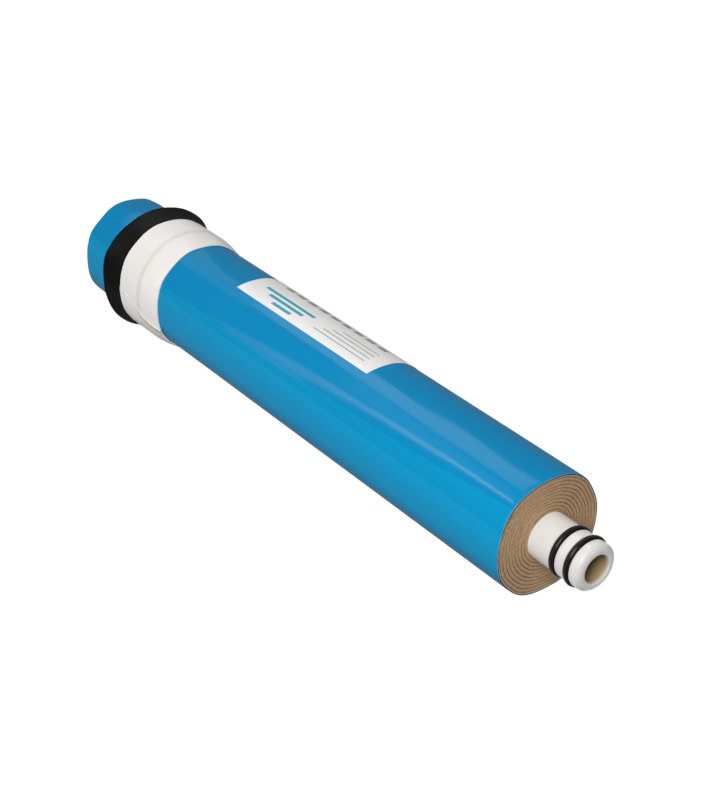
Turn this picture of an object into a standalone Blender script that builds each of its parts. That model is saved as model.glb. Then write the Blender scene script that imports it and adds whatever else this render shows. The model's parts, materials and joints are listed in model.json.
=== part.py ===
"""Spiral-wound reverse osmosis membrane element for a small water filter.

A membrane leaf, folded over a feed spacer, is wound round a perforated permeate tube
together with a permeate carrier. A blue film wraps the roll. At the feed end a rubber
brine seal sits on the film, held by white tape, and at the other end the tube stands
out as a spigot with two O-rings.

Lengths are in metres. The element stands on its feed end: z is 0 at that face and
grows along the axis to the spigot's tip. Angles turn anticlockwise as seen from the
spigot, which is also the way in which the leaf winds outwards.
"""
import math

import bmesh
import bpy
from mathutils import Vector

# Roll and permeate tube
ROLL_LENGTH = 0.272
SPIGOT_LENGTH = 0.0237
TUBE_OUTER_D = 0.0176
TUBE_BORE_D = 0.0098
NOSE_LENGTH = 0.0022
NOSE_DEPTH = 0.0025
MOUTH_LENGTH = 0.0018
MOUTH_DEPTH = 0.0010
PERMEATE_HOLE_D = 0.0026
PERMEATE_HOLE_PITCH = 0.028
PERMEATE_HOLE_MARGIN = 0.024
PLUG_LENGTH = 0.010
PLUG_CHAMFER = 0.0008
PLUG_CLEARANCE = 0.0001

# O-rings and their grooves, placed from the spigot's tip
RING_SECTION_D = 0.00262
RING_PROUD = 0.00078
RING_PITCH = 0.0067
OUTER_RING_FROM_TIP = 0.00565
GROOVE_SIDE_CLEARANCE = 0.00015
GROOVE_FLOOR_CLEARANCE = 0.0001

# Sheets of the roll
CARRIER_T = 0.00030
MEMBRANE_T = 0.00017
SPACER_T = 0.00049
LAYER_GAP = 0.00006
LEAF_TURNS = 9.0
LEAF_END_ANGLE = math.radians(90)
BRIDGE_STEPS = 2
FOLD_RAMP_STEPS = 16
EDGE_GLUE_TAPER = 0.75
CORE_GLUE_WIDTH = 0.025
CORE_GLUE_LEAST_T = 0.00015

# Lumps of the hand-wound roll and waves of the seal's lip: the rise of the outside at
# even steps of a turn, anticlockwise from the leaf's end
ROLL_LUMPS = (-0.00065, -0.00035, -0.00025, 0.00005, 0.00030, 0.00030, 0.00010, -0.00015,
              0.00040, 0.00025, 0.00005, -0.00025, -0.00040, -0.00045, -0.00030, -0.00045,
              -0.00055, -0.00035)
LIP_WAVES = (0.00070, 0.00120, 0.0, -0.00010, 0.00030, 0.00030, 0.00010, 0.0, 0.00040,
             0.00070, 0.00030, 0.0, 0.0, 0.00050, 0.00010, -0.00025, -0.00010, -0.00010)

# Blue film round the roll
FILM_T = 0.00060
FILM_END_STEP = 0.00015
FILM_SEAM_ANGLE = math.radians(111.6)
FILM_SEAM_SPREAD = math.radians(0.6)
FILM_RIM_LENGTH = 0.0015
FILM_RIM_TURN_IN = 0.00025

# Label
LABEL_START = 0.0967
LABEL_LENGTH = 0.0845
LABEL_WIDTH = 0.050
LABEL_T = 0.00012
LABEL_EDGE_ANGLE = math.radians(62)

# Brine seal, placed from the feed end
SEAL_START = 0.0328
SEAL_FOOT_LENGTH = 0.0232
SEAL_FOOT_T = 0.0012
SEAL_TAIL_LENGTH = 0.0090
SEAL_TAIL_T = 0.00025
SEAL_HUG = 0.5
LIP_LENGTH = 0.0093
LIP_FLARE = 0.0028
LIP_ROOT_T = 0.0013
LIP_TIP_T = 0.0009
LIP_ROOT_SET_BACK = 0.0020

# White tape over the seal's foot
TAPE_WIDTH = 0.0269
TAPE_T = 0.00030
TAPE_CREASE_AT = 0.0139
TAPE_CREASE_DEPTH = 0.00020
TAPE_CREASE_SPREAD = 0.0005
SEAT_CLEARANCE = 0.00015

# Facets: the film and all on it have twice as many as the sheets inside
STEPS_PER_TURN = 18
TUBE_STEPS = 32
RING_SECTION_STEPS = 8
ROUND_STEPS = 4
HOLE_STEPS = 8

# Sizes that follow
TUBE_R = TUBE_OUTER_D / 2
BORE_R = TUBE_BORE_D / 2
TOTAL_LENGTH = ROLL_LENGTH + SPIGOT_LENGTH
RING_R = RING_SECTION_D / 2
RING_CENTRE_R = TUBE_R + RING_PROUD - RING_R
GROOVE_FLOOR_R = RING_CENTRE_R - RING_R - GROOVE_FLOOR_CLEARANCE
GROOVE_HALF_WIDTH = RING_R + GROOVE_SIDE_CLEARANCE
OUTER_RING_Z = TOTAL_LENGTH - OUTER_RING_FROM_TIP
INNER_RING_Z = OUTER_RING_Z - RING_PITCH

STEP = math.tau / STEPS_PER_TURN
FINE_STEPS = 2 * STEPS_PER_TURN
FOLD = STEPS_PER_TURN
LEAF_END = FOLD + round(LEAF_TURNS * STEPS_PER_TURN)
LEAF_STACK = 2 * MEMBRANE_T + SPACER_T + 3 * LAYER_GAP


def clear_scene():
    for thing in list(bpy.data.objects):
        bpy.data.objects.remove(thing, do_unlink=True)


def material(name, colour, roughness, metallic=0.0):
    """A plain Principled material; the colour is linear RGB."""
    made = bpy.data.materials.new(name)
    made.use_nodes = True
    shader = made.node_tree.nodes["Principled BSDF"]
    shader.inputs["Base Color"].default_value = (*colour, 1.0)
    shader.inputs["Roughness"].default_value = roughness
    shader.inputs["Metallic"].default_value = metallic
    made.diffuse_color = (*colour, 1.0)
    return made


def add_object(name, bm, made_of, sharp_from=math.radians(35)):
    """Turns a bmesh into a named object with its material, shaded smooth."""
    mesh = bpy.data.meshes.new(name)
    bm.to_mesh(mesh)
    bm.free()
    mesh.shade_smooth()
    mesh.set_sharp_from_angle(angle=sharp_from)
    mesh.materials.append(made_of)
    thing = bpy.data.objects.new(name, mesh)
    bpy.context.scene.collection.objects.link(thing)
    return thing


def polar(radius, angle, z=0.0):
    return Vector((radius * math.cos(angle), radius * math.sin(angle), z))


def ribbon(name, pairs, low, high, made_of):
    """A sheet on edge: pairs of points across its wall, swept from z low to z high."""
    bm = bmesh.new()
    rows = []
    for left, right in pairs:
        rows.append([bm.verts.new((point.x, point.y, z))
                     for point, z in ((left, low), (right, low), (right, high), (left, high))])
    for row, after in zip(rows, rows[1:]):
        for side in range(4):
            following = (side + 1) % 4
            bm.faces.new((row[side], row[following], after[following], after[side]))
    bm.faces.new(rows[0][::-1])
    bm.faces.new(rows[-1])
    bmesh.ops.recalc_face_normals(bm, faces=bm.faces)
    return add_object(name, bm, made_of)


def ring(name, sections, made_of):
    """A closed ring lofted through one closed (radius, z) section for each angle."""
    bm = bmesh.new()
    rows = [[bm.verts.new(polar(radius, angle, z)) for radius, z in section]
            for angle, section in sections]
    for row, after in zip(rows, rows[1:] + rows[:1]):
        for side in range(len(row)):
            following = (side + 1) % len(row)
            bm.faces.new((row[side], row[following], after[following], after[side]))
    bmesh.ops.recalc_face_normals(bm, faces=bm.faces)
    return add_object(name, bm, made_of)


def turned(name, section, steps, made_of):
    """A round piece with the same section all the way round."""
    return ring(name, [(math.tau * step / steps, section) for step in range(steps)], made_of)


def rounded(centre, reach, start, end, steps=ROUND_STEPS):
    """Points of an elliptical round in a (radius, z) section, ends included."""
    points = []
    for step in range(steps + 1):
        angle = math.radians(start + (end - start) * step / steps)
        points.append((centre[0] + reach[0] * math.cos(angle), centre[1] + reach[1] * math.sin(angle)))
    return points


# Permeate tube, its plug and the O-rings

def ring_groove(centre_z):
    """The groove's four corners, walking up the outside of the tube."""
    low, high = centre_z - GROOVE_HALF_WIDTH, centre_z + GROOVE_HALF_WIDTH
    return [(TUBE_R, low), (GROOVE_FLOOR_R, low), (GROOVE_FLOOR_R, high), (TUBE_R, high)]


def build_permeate_tube(made_of):
    nose_centre = (TUBE_R - NOSE_DEPTH, TOTAL_LENGTH - NOSE_LENGTH)
    mouth_centre = (BORE_R + MOUTH_DEPTH, TOTAL_LENGTH - MOUTH_LENGTH)
    section = [(BORE_R, 0.0), (TUBE_R, 0.0)]
    section += ring_groove(INNER_RING_Z) + ring_groove(OUTER_RING_Z)
    section += rounded(nose_centre, (NOSE_DEPTH, NOSE_LENGTH), 0, 90)
    section += rounded(mouth_centre, (MOUTH_DEPTH, MOUTH_LENGTH), 90, 180, ROUND_STEPS - 1)
    tube = turned("permeate_tube", section, TUBE_STEPS, made_of)
    drill_permeate_holes(tube)
    return tube


def drill_permeate_holes(tube):
    """Cross holes that let the permeate in, each turned a quarter from the last."""
    drilled = ROLL_LENGTH - 2 * PERMEATE_HOLE_MARGIN
    count = int(drilled / PERMEATE_HOLE_PITCH + 0.001) + 1
    first = ROLL_LENGTH / 2 - (count - 1) * PERMEATE_HOLE_PITCH / 2
    drill_reach = TUBE_R + PERMEATE_HOLE_D
    bm = bmesh.new()
    for number in range(count):
        z = first + number * PERMEATE_HOLE_PITCH
        across = polar(1.0, math.pi / 2 * (number % 2))
        beside = across.cross(Vector((0, 0, 1)))
        ends = []
        for end in (-1, 1):
            corners = []
            for corner in range(HOLE_STEPS):
                turn = math.tau * (corner + 0.5) / HOLE_STEPS
                rim = beside * math.cos(turn) + Vector((0, 0, 1)) * math.sin(turn)
                place = across * (end * drill_reach) + rim * PERMEATE_HOLE_D / 2
                corners.append(bm.verts.new(place + Vector((0, 0, z))))
            ends.append(corners)
            bm.faces.new(corners)
        for corner in range(HOLE_STEPS):
            following = (corner + 1) % HOLE_STEPS
            bm.faces.new((ends[0][corner], ends[0][following], ends[1][following], ends[1][corner]))
    bmesh.ops.recalc_face_normals(bm, faces=bm.faces)
    mesh = bpy.data.meshes.new("permeate_hole_drills")
    bm.to_mesh(mesh)
    bm.free()
    drills = bpy.data.objects.new("permeate_hole_drills", mesh)
    bpy.context.scene.collection.objects.link(drills)
    drills.hide_render = True
    drills.display_type = 'WIRE'
    cut = tube.modifiers.new("permeate_holes", 'BOOLEAN')
    cut.operation = 'DIFFERENCE'
    cut.solver = 'EXACT'
    cut.object = drills


def build_tube_plug(made_of):
    """Closes the tube at the feed end, flush with its end face."""
    radius = BORE_R - PLUG_CLEARANCE
    bm = bmesh.new()
    levels = ((radius, 0.0), (radius, PLUG_LENGTH - PLUG_CHAMFER), (radius - PLUG_CHAMFER, PLUG_LENGTH))
    rows = [[bm.verts.new(polar(r, math.tau * step / TUBE_STEPS, z)) for step in range(TUBE_STEPS)]
            for r, z in levels]
    for row, after in zip(rows, rows[1:]):
        for step in range(TUBE_STEPS):
            following = (step + 1) % TUBE_STEPS
            bm.faces.new((row[step], row[following], after[following], after[step]))
    bm.faces.new(rows[0][::-1])
    bm.faces.new(rows[-1])
    return add_object("tube_plug", bm, made_of)


def build_o_ring(name, centre_z, made_of):
    section = rounded((RING_CENTRE_R, centre_z), (RING_R, RING_R), 0, 360, RING_SECTION_STEPS)[:-1]
    return turned(name, section, TUBE_STEPS, made_of)


# The wound sheets: station k lies k steps along the carrier from its inner edge

def station_angle(k):
    return LEAF_END_ANGLE + (k - LEAF_END) * STEP


def leaf_share(k):
    """0 where the carrier lies alone, 1 where the folded leaf lies on it."""
    return min(max((k - FOLD + FOLD_RAMP_STEPS) / FOLD_RAMP_STEPS, 0.0), 1.0)


def stack_height(k):
    """From the carrier's inner side to the inner side of what lies on the stack."""
    return CARRIER_T + LAYER_GAP + leaf_share(k) * LEAF_STACK


def wind_carrier():
    """Radius of the carrier's inner side at each station; each turn lies on the last."""
    on_tube = (TUBE_R + LAYER_GAP) / math.cos(STEP / 2)
    radii = []
    for k in range(LEAF_END + 1):
        below = k - STEPS_PER_TURN
        radii.append(on_tube if below < 0 else radii[below] + stack_height(below))
    return radii


CARRIER_RADII = wind_carrier()
LOWER_PLY_OFFSET = CARRIER_T + LAYER_GAP
SPACER_OFFSET = LOWER_PLY_OFFSET + MEMBRANE_T + LAYER_GAP
UPPER_PLY_OFFSET = SPACER_OFFSET + SPACER_T + LAYER_GAP


def value_at(values, angle):
    """Reads a list of values at even steps of a turn, straight from one to the next."""
    place = (angle - LEAF_END_ANGLE) / math.tau * len(values)
    low = math.floor(place)
    share = place - low
    return values[low % len(values)] * (1 - share) + values[(low + 1) % len(values)] * share


def settled(pairs):
    """Lays a wound sheet's points into the lumpy roll, where lumps fade towards the tube."""
    last_turn = CARRIER_RADII[LEAF_END - STEPS_PER_TURN]

    def moved(point):
        angle = math.atan2(point.y, point.x)
        depth = min(max((point.length - TUBE_R) / (last_turn - TUBE_R), 0.0), 1.0)
        return polar(point.length + value_at(ROLL_LUMPS, angle) * depth ** 2, angle)

    return [(moved(left), moved(right)) for left, right in pairs]


def layer_pair(k, offset, thickness):
    """The inner and outer point of a layer that lies offset above the carrier's inner side."""
    radius, angle = CARRIER_RADII[k] + offset, station_angle(k)
    return polar(radius, angle), polar(radius + thickness, angle)


def build_permeate_carrier(made_of):
    pairs = [layer_pair(k, 0.0, CARRIER_T) for k in range(LEAF_END + 1)]
    return ribbon("permeate_carrier", settled(pairs), 0.0, ROLL_LENGTH, made_of)


def chord_point(k, share, offset):
    """A point offset above the carrier, on the straight facet between two stations."""
    here = polar(CARRIER_RADII[k] + offset, station_angle(k))
    after = polar(CARRIER_RADII[k + 1] + offset, station_angle(k + 1))
    return here.lerp(after, share)


def build_core_glue(name, low, made_of):
    """Glue in the wedge ahead of the fold, between the carrier's first and second turn."""
    pairs = []
    for k in range(FOLD):
        wedge = leaf_share(k) * LEAF_STACK - LAYER_GAP
        if wedge > CORE_GLUE_LEAST_T:
            pairs.append(layer_pair(k, LOWER_PLY_OFFSET, wedge))
    fold_reach = UPPER_PLY_OFFSET + MEMBRANE_T - LOWER_PLY_OFFSET
    share = 1 - fold_reach / (CARRIER_RADII[FOLD] * STEP)
    above = chord_point(FOLD - 1 + STEPS_PER_TURN, share, -LAYER_GAP)
    pairs.append((chord_point(FOLD - 1, share, LOWER_PLY_OFFSET), above))
    return ribbon(name, settled(pairs), low, low + CORE_GLUE_WIDTH, made_of)


def fold_pairs():
    """The leaf's fold next to the tube: a half round from the lower ply to the upper."""
    angle = station_angle(FOLD)
    outward, back = polar(1.0, angle), polar(1.0, angle - math.pi / 2)
    lower = CARRIER_RADII[FOLD] + LOWER_PLY_OFFSET
    upper = CARRIER_RADII[FOLD] + UPPER_PLY_OFFSET + MEMBRANE_T
    centre = outward * (lower + upper) / 2
    back_reach = (upper - lower) / 2
    pairs = []
    for turn in (45, 90, 135):
        way = back * math.sin(math.radians(turn)) - outward * math.cos(math.radians(turn))
        pairs.append((centre + way * back_reach, centre + way * (back_reach - MEMBRANE_T)))
    return pairs


def build_membrane_leaf(made_of):
    """One sheet: in along the lower ply, round the fold, out along the upper ply."""
    stations = range(FOLD, LEAF_END + 1)
    pairs = [layer_pair(k, LOWER_PLY_OFFSET, MEMBRANE_T) for k in reversed(stations)]
    pairs += fold_pairs()
    pairs += [layer_pair(k, UPPER_PLY_OFFSET, MEMBRANE_T)[::-1] for k in stations]
    return ribbon("membrane_leaf", settled(pairs), 0.0, ROLL_LENGTH, made_of)


def build_feed_spacer(made_of):
    pairs = [layer_pair(k, SPACER_OFFSET, SPACER_T) for k in range(FOLD, LEAF_END + 1)]
    return ribbon("feed_spacer", settled(pairs), 0.0, ROLL_LENGTH, made_of)


def build_edge_glue(made_of):
    """Glue along the leaf's outer edge, in the wedge that the film bridges."""
    pairs = []
    clear_of_leaf = LAYER_GAP / CARRIER_RADII[LEAF_END] / STEP
    for step in (clear_of_leaf, 1.0, BRIDGE_STEPS * EDGE_GLUE_TAPER):
        low = LEAF_END - STEPS_PER_TURN + int(step)
        share = step - int(step)
        under = stack_top(low) * (1 - share) + stack_top(low + 1) * share
        angle = LEAF_END_ANGLE + step * STEP
        over = outline(angle) - LAYER_GAP
        pairs.append((polar(under, angle), polar(over, angle)))
    return ribbon("leaf_edge_glue", settled(pairs), 0.0, ROLL_LENGTH, made_of)


# The film's outline follows the last turn and bridges the step at the leaf's end

def stack_top(k):
    return CARRIER_RADII[k] + stack_height(k)


def outline_table():
    """The roll's radius before its lumps at each fine step from the leaf's end."""
    last_turn = LEAF_END - STEPS_PER_TURN
    coarse = [stack_top(last_turn + step) for step in range(STEPS_PER_TURN + 1)]
    for step in range(BRIDGE_STEPS):
        share = step / BRIDGE_STEPS
        coarse[step] = coarse[-1] * (1 - share) + coarse[BRIDGE_STEPS] * share
    table = []
    for here, after in zip(coarse, coarse[1:]):
        table += [here, (here + after) / 2]
    return table


OUTLINE = outline_table()


def outline(angle):
    return value_at(OUTLINE, angle)


def film_inner(angle):
    return outline(angle) + value_at(ROLL_LUMPS, angle)


def film_outer(angle):
    """The film thickens by one layer over its last turn, and steps down at its seam."""
    past_seam = (angle - FILM_SEAM_ANGLE) % math.tau
    if past_seam < FILM_SEAM_SPREAD:
        share = 1 - past_seam / FILM_SEAM_SPREAD
    else:
        share = (past_seam - FILM_SEAM_SPREAD) / (math.tau - FILM_SEAM_SPREAD)
    return film_inner(angle) + FILM_T + FILM_END_STEP * share


def ring_angles():
    """Every fine step, and the two sides of the film's seam in place of a step beside it."""
    angles = [LEAF_END_ANGLE + math.tau * step / FINE_STEPS for step in range(FINE_STEPS)]
    seam = (FILM_SEAM_ANGLE - LEAF_END_ANGLE) % math.tau + LEAF_END_ANGLE
    room = 1.5 * FILM_SEAM_SPREAD
    angles = [angle for angle in angles
              if room < (angle - seam - FILM_SEAM_SPREAD / 2) % math.tau < math.tau - room]
    return sorted(angles + [seam, seam + FILM_SEAM_SPREAD])


ANGLES = ring_angles()
FILM_LARGEST_R = max(film_outer(angle) for angle in ANGLES)


def build_outer_film(made_of):
    sections = []
    for angle in ANGLES:
        inner, outer = film_inner(angle), film_outer(angle)
        rim = outer - FILM_RIM_TURN_IN
        sections.append((angle, [
            (inner, 0.0), (rim, 0.0), (outer, FILM_RIM_LENGTH),
            (outer, ROLL_LENGTH - FILM_RIM_LENGTH), (rim, ROLL_LENGTH), (inner, ROLL_LENGTH)]))
    return ring("outer_film", sections, made_of)


def build_label(made_of):
    """A thin sheet on the film, with one long edge at the label's edge angle."""
    last = LABEL_EDGE_ANGLE + math.tau
    first = last - LABEL_WIDTH / FILM_LARGEST_R
    between = [angle + turn for turn in (0, math.tau) for angle in ANGLES
               if first < angle + turn < last]
    pairs = []
    for angle in [first] + between + [last]:
        seat = film_outer(angle) + LAYER_GAP
        pairs.append((polar(seat, angle), polar(seat + LABEL_T, angle)))
    return ribbon("label", pairs, LABEL_START, LABEL_START + LABEL_LENGTH, made_of)


# Brine seal and the tape over its foot

def seal_seat(angle):
    """The stretched rubber hugs the film and bridges part of its hollows."""
    hollow = FILM_LARGEST_R - film_outer(angle)
    return film_outer(angle) + SEAT_CLEARANCE + (1 - SEAL_HUG) * hollow


LIP_R = FILM_LARGEST_R + SEAT_CLEARANCE + SEAL_FOOT_T + LIP_FLARE
FOOT_END = SEAL_START + SEAL_FOOT_LENGTH
TAIL_START = FOOT_END - SEAL_TAIL_LENGTH


def foot_tail():
    """(height over the seat, z) along the tail, which thins out in a soft curve."""
    points = []
    for share in (0.0, 0.4, 0.75, 1.0):
        height = SEAL_TAIL_T + (SEAL_FOOT_T - SEAL_TAIL_T) * math.cos(share * math.pi / 2)
        points.append((height, TAIL_START + share * SEAL_TAIL_LENGTH))
    return points


def lip_points(angle, foot):
    """The lip's outer side from its root to its tip, then its inner side back."""
    lip_r = LIP_R + value_at(LIP_WAVES, angle)
    outer, inner = [], []
    for share in (0.45, 1.0):
        rise = share ** 1.25
        radius = foot + (lip_r - foot) * rise
        z = SEAL_START - LIP_LENGTH * share
        wall = LIP_ROOT_T + (LIP_TIP_T - LIP_ROOT_T) * share
        outer.append((radius, z + wall * 0.3 * (share == 1.0)))
        inner.append((radius - wall, z + wall * 0.5 * (share < 1.0)))
    tip = [(lip_r - LIP_TIP_T * 0.3, SEAL_START - LIP_LENGTH)]
    return outer + tip + inner[::-1]


def build_brine_seal(made_of):
    sections = []
    for angle in ANGLES:
        seat = seal_seat(angle)
        tail = [(seat + height, z) for height, z in foot_tail()]
        root_z = SEAL_START - LIP_ROOT_SET_BACK
        section = [(seat, root_z), (seat, FOOT_END)] + tail[::-1]
        section += [(seat + SEAL_FOOT_T, SEAL_START)] + lip_points(angle, seat + SEAL_FOOT_T)
        sections.append((angle, section))
    return ring("brine_seal", sections, made_of)


def build_seal_tape(made_of):
    """White tape: flat over the foot, with a crease, then down the tail to the film."""
    tape_end = SEAL_START + TAPE_WIDTH
    landing = (FOOT_END + tape_end) / 2
    crease = SEAL_START + TAPE_CREASE_AT
    sections = []
    for angle in ANGLES:
        seat = seal_seat(angle) + SEAT_CLEARANCE
        on_film = film_outer(angle) + SEAT_CLEARANCE
        top = seat + SEAL_FOOT_T
        tail = [(seat + height, z) for height, z in foot_tail()]
        inner = [(top, SEAL_START)] + tail + [(on_film, landing), (on_film, tape_end)]
        outer = [(top + TAPE_T, SEAL_START), (top + TAPE_T, crease - TAPE_CREASE_SPREAD),
                 (top + TAPE_T - TAPE_CREASE_DEPTH, crease)]
        outer += [(radius + TAPE_T, z) for radius, z in inner[1:]]
        sections.append((angle, inner + outer[::-1]))
    return ring("seal_tape", sections, made_of)


def main():
    clear_scene()
    white_plastic = material("white_polypropylene", (0.82, 0.80, 0.76), 0.35)
    plug_plastic = material("white_plug_plastic", (0.78, 0.76, 0.72), 0.40)
    black_rubber = material("black_rubber", (0.012, 0.012, 0.014), 0.38)
    seal_rubber = material("black_seal_rubber", (0.012, 0.012, 0.014), 0.55)
    knit = material("tan_knit_polyester", (0.38, 0.27, 0.17), 0.75)
    membrane = material("tan_membrane_film", (0.45, 0.33, 0.21), 0.55)
    net = material("spacer_net", (0.16, 0.11, 0.07), 0.60)
    glue = material("amber_glue", (0.30, 0.18, 0.07), 0.35)
    blue_film = material("blue_vinyl_film", (0.012, 0.25, 0.52), 0.25)
    label_film = material("white_label_film", (0.78, 0.76, 0.74), 0.30)
    white_tape = material("white_vinyl_tape", (0.80, 0.78, 0.75), 0.32)

    build_permeate_tube(white_plastic)
    build_tube_plug(plug_plastic)
    build_o_ring("o_ring_inner", INNER_RING_Z, black_rubber)
    build_o_ring("o_ring_outer", OUTER_RING_Z, black_rubber.copy())
    build_permeate_carrier(knit)
    build_membrane_leaf(membrane)
    build_feed_spacer(net)
    build_edge_glue(glue)
    build_core_glue("core_glue_feed_end", 0.0, glue.copy())
    build_core_glue("core_glue_outlet_end", ROLL_LENGTH - CORE_GLUE_WIDTH, glue.copy())
    build_outer_film(blue_film)
    build_label(label_film)
    build_brine_seal(seal_rubber)
    build_seal_tape(white_tape)


main()
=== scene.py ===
"""Looks of a small spiral-wound membrane element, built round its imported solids.

The solids stand on their feed end with the roll's axis on Z, and all lengths are metres.
Angles turn anticlockwise as seen from the spigot, which is also how the leaf winds out.
Each piece takes its place from the solid that it stands for.
"""
import json
import math

import bpy
from bpy.props import FloatProperty, FloatVectorProperty, IntProperty, PointerProperty
from bpy.types import Operator, Panel, PropertyGroup
from mathutils import Matrix, Vector, noise

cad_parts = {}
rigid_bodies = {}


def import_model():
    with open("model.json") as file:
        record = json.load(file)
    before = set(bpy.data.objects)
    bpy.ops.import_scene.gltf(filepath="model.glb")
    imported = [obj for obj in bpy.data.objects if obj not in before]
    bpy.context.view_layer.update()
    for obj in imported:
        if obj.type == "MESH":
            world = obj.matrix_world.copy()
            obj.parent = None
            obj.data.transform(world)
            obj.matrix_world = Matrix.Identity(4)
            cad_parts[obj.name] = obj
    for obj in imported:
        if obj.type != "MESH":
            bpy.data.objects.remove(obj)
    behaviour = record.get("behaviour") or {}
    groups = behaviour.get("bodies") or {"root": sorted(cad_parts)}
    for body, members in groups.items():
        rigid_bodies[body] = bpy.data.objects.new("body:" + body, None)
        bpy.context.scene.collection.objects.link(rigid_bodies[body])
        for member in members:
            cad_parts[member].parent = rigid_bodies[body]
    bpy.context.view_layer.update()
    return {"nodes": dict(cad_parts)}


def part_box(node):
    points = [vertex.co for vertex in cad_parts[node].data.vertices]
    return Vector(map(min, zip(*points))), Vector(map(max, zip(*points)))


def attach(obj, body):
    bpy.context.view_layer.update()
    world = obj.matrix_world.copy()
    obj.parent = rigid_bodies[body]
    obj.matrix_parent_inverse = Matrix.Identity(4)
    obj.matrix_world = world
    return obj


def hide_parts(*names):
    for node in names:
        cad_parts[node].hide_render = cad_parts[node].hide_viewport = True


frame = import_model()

bl_info = {
    "name": "Wound Membrane Element",
    "version": (1, 0, 0),
    "blender": (4, 5, 0),
    "location": "View3D > Sidebar > Membrane",
    "description": "Models and finishes a wound membrane element round its solids",
    "category": "Add Mesh",
}

# Places that the solids give
ROLL_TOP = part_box("outer_film")[1].z
TUBE_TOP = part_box("permeate_tube")[1].z
TUBE_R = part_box("permeate_tube")[1].x
LABEL_Z, LABEL_TOP = [corner.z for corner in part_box("label")]
TAPE_Z, TAPE_TOP = [corner.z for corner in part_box("seal_tape")]

FULL_TURN = math.tau
MM = 0.001
WELD = 0.000001


def node_points(node):
    """(angle, radius, z) of each point of a solid."""
    return [(math.atan2(vertex.co.y, vertex.co.x) % FULL_TURN, vertex.co.xy.length, vertex.co.z)
            for vertex in frame["nodes"][node].data.vertices]


def outline_of(node):
    """(angle, largest radius) at each corner of a solid, all the way round."""
    largest = {}
    for angle, radius, _ in node_points(node):
        corner = round(math.degrees(angle), 1) % 360
        largest[corner] = max(largest.get(corner, 0.0), radius)
    return sorted((math.radians(corner), radius) for corner, radius in largest.items())


FILM_CORNERS = outline_of("outer_film")
LIP_CORNERS = outline_of("brine_seal")
FILM_LARGEST = max(radius for _, radius in FILM_CORNERS)
CARRIER_START_R = min(radius for _, radius, _ in node_points("permeate_carrier"))

# The roll's two ends are lumpy in their own ways: how far each stands out over the solid,
# in hundredths of a millimetre, every ten degrees from zero
FEED_END_RISES = (0, -16, 14, 4, -2, 21, 31, 1, -48, -49, 0, 0, 6, 9, -1, 20, 37, 22,
                  6, 0, 12, 2, -15, -3, 7, 3, 1, -2, -2, -1, 0, 0, 1, 2, -14, -3)
SPIGOT_END_RISES = (28, 14, 5, -6, -28, -27, -14, 4, 24, 29, 19, -9, -8, 6, -20, -22, -5, -23,
                    -24, 1, 15, 2, -15, -3, 7, 3, 1, -2, -2, -1, 0, 0, 1, 2, -14, -2)


# Sizes and colours

def length(name, about, metres):
    return FloatProperty(name=name, description=about, default=metres, min=0.0, unit='LENGTH', precision=5)


def angle(name, about, degrees):
    return FloatProperty(name=name, description=about, default=math.radians(degrees), unit='ROTATION')


def count(name, about, number):
    return IntProperty(name=name, description=about, default=number, min=3)


def amount(name, about, number):
    return FloatProperty(name=name, description=about, default=number)


def linear(hex_colour):
    """An sRGB hex colour as linear RGBA."""
    channels = [int(hex_colour[place:place + 2], 16) / 255 for place in (1, 3, 5)]
    return (*[c / 12.92 if c <= 0.04045 else ((c + 0.055) / 1.055) ** 2.4 for c in channels], 1.0)


def tint(name, about, hex_colour):
    return FloatVectorProperty(name=name, description=about, subtype='COLOR', size=4,
                               min=0.0, max=1.0, default=linear(hex_colour))


class RollSizes(PropertyGroup):
    """The wound sheets, from the tube outwards."""
    carrier: length("Carrier", "Thickness of the knit permeate carrier", 0.00030)
    membrane: length("Membrane", "Thickness of one ply of the membrane leaf", 0.00017)
    spacer: length("Spacer", "Thickness of the feed spacer net", 0.00049)
    gap: length("Gap", "Air between two sheets", 0.00006)
    leaf_turns: amount("Leaf Turns", "Turns of the folded leaf", 9.0)
    ramp_turns: amount("Ramp Turns", "Turns over which the wedge ahead of the fold grows", 16 / 18)
    leaf_end: angle("Leaf End", "Angle at which the leaf ends under the film", 90)
    bridge: angle("Bridge", "Turn over which the film bridges the leaf's end", 40)
    stations: count("Stations", "Steps in one turn of a sheet", 120)
    ragged: length("Ragged", "Most that a cut edge lies below the end face", 0.00018)
    swell: length("Swell", "How much a membrane ply swells into the spacer's slot", 0.00012)
    strand_pitch: length("Strand Pitch", "From one knot of the net to the next", 0.00087)
    strand_width: length("Strand Width", "Width of a knot along the turn", 0.00056)
    net_depth: length("Net Depth", "Depth of open net at each end", 0.0026)


class SpigotSizes(PropertyGroup):
    """The tube's spigot with its grooves and rings."""
    bore: length("Bore", "Diameter of the bore", 0.0098)
    nose_length: length("Nose Length", "Length of the round at the tip", 0.0022)
    nose_depth: length("Nose Depth", "Depth of the round at the tip", 0.0025)
    mouth_length: length("Mouth Length", "Length of the bore's flared mouth", 0.0018)
    mouth_depth: length("Mouth Depth", "Depth of the bore's flared mouth", 0.0010)
    ring_clearance: length("Ring Clearance", "Groove width beyond the ring, each side", 0.00015)
    floor_clearance: length("Floor Clearance", "Groove depth beyond the ring", 0.00010)
    hole: length("Permeate Hole", "Diameter of a permeate hole", 0.0026)
    hole_pitch: length("Hole Pitch", "From one permeate hole to the next", 0.028)
    hole_margin: length("Hole Margin", "Undrilled stretch at each end of the roll", 0.024)
    round_steps: count("Round Steps", "Points in a rounded corner", 12)
    turn_steps: count("Turn Steps", "Steps round the tube", 128)


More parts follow.
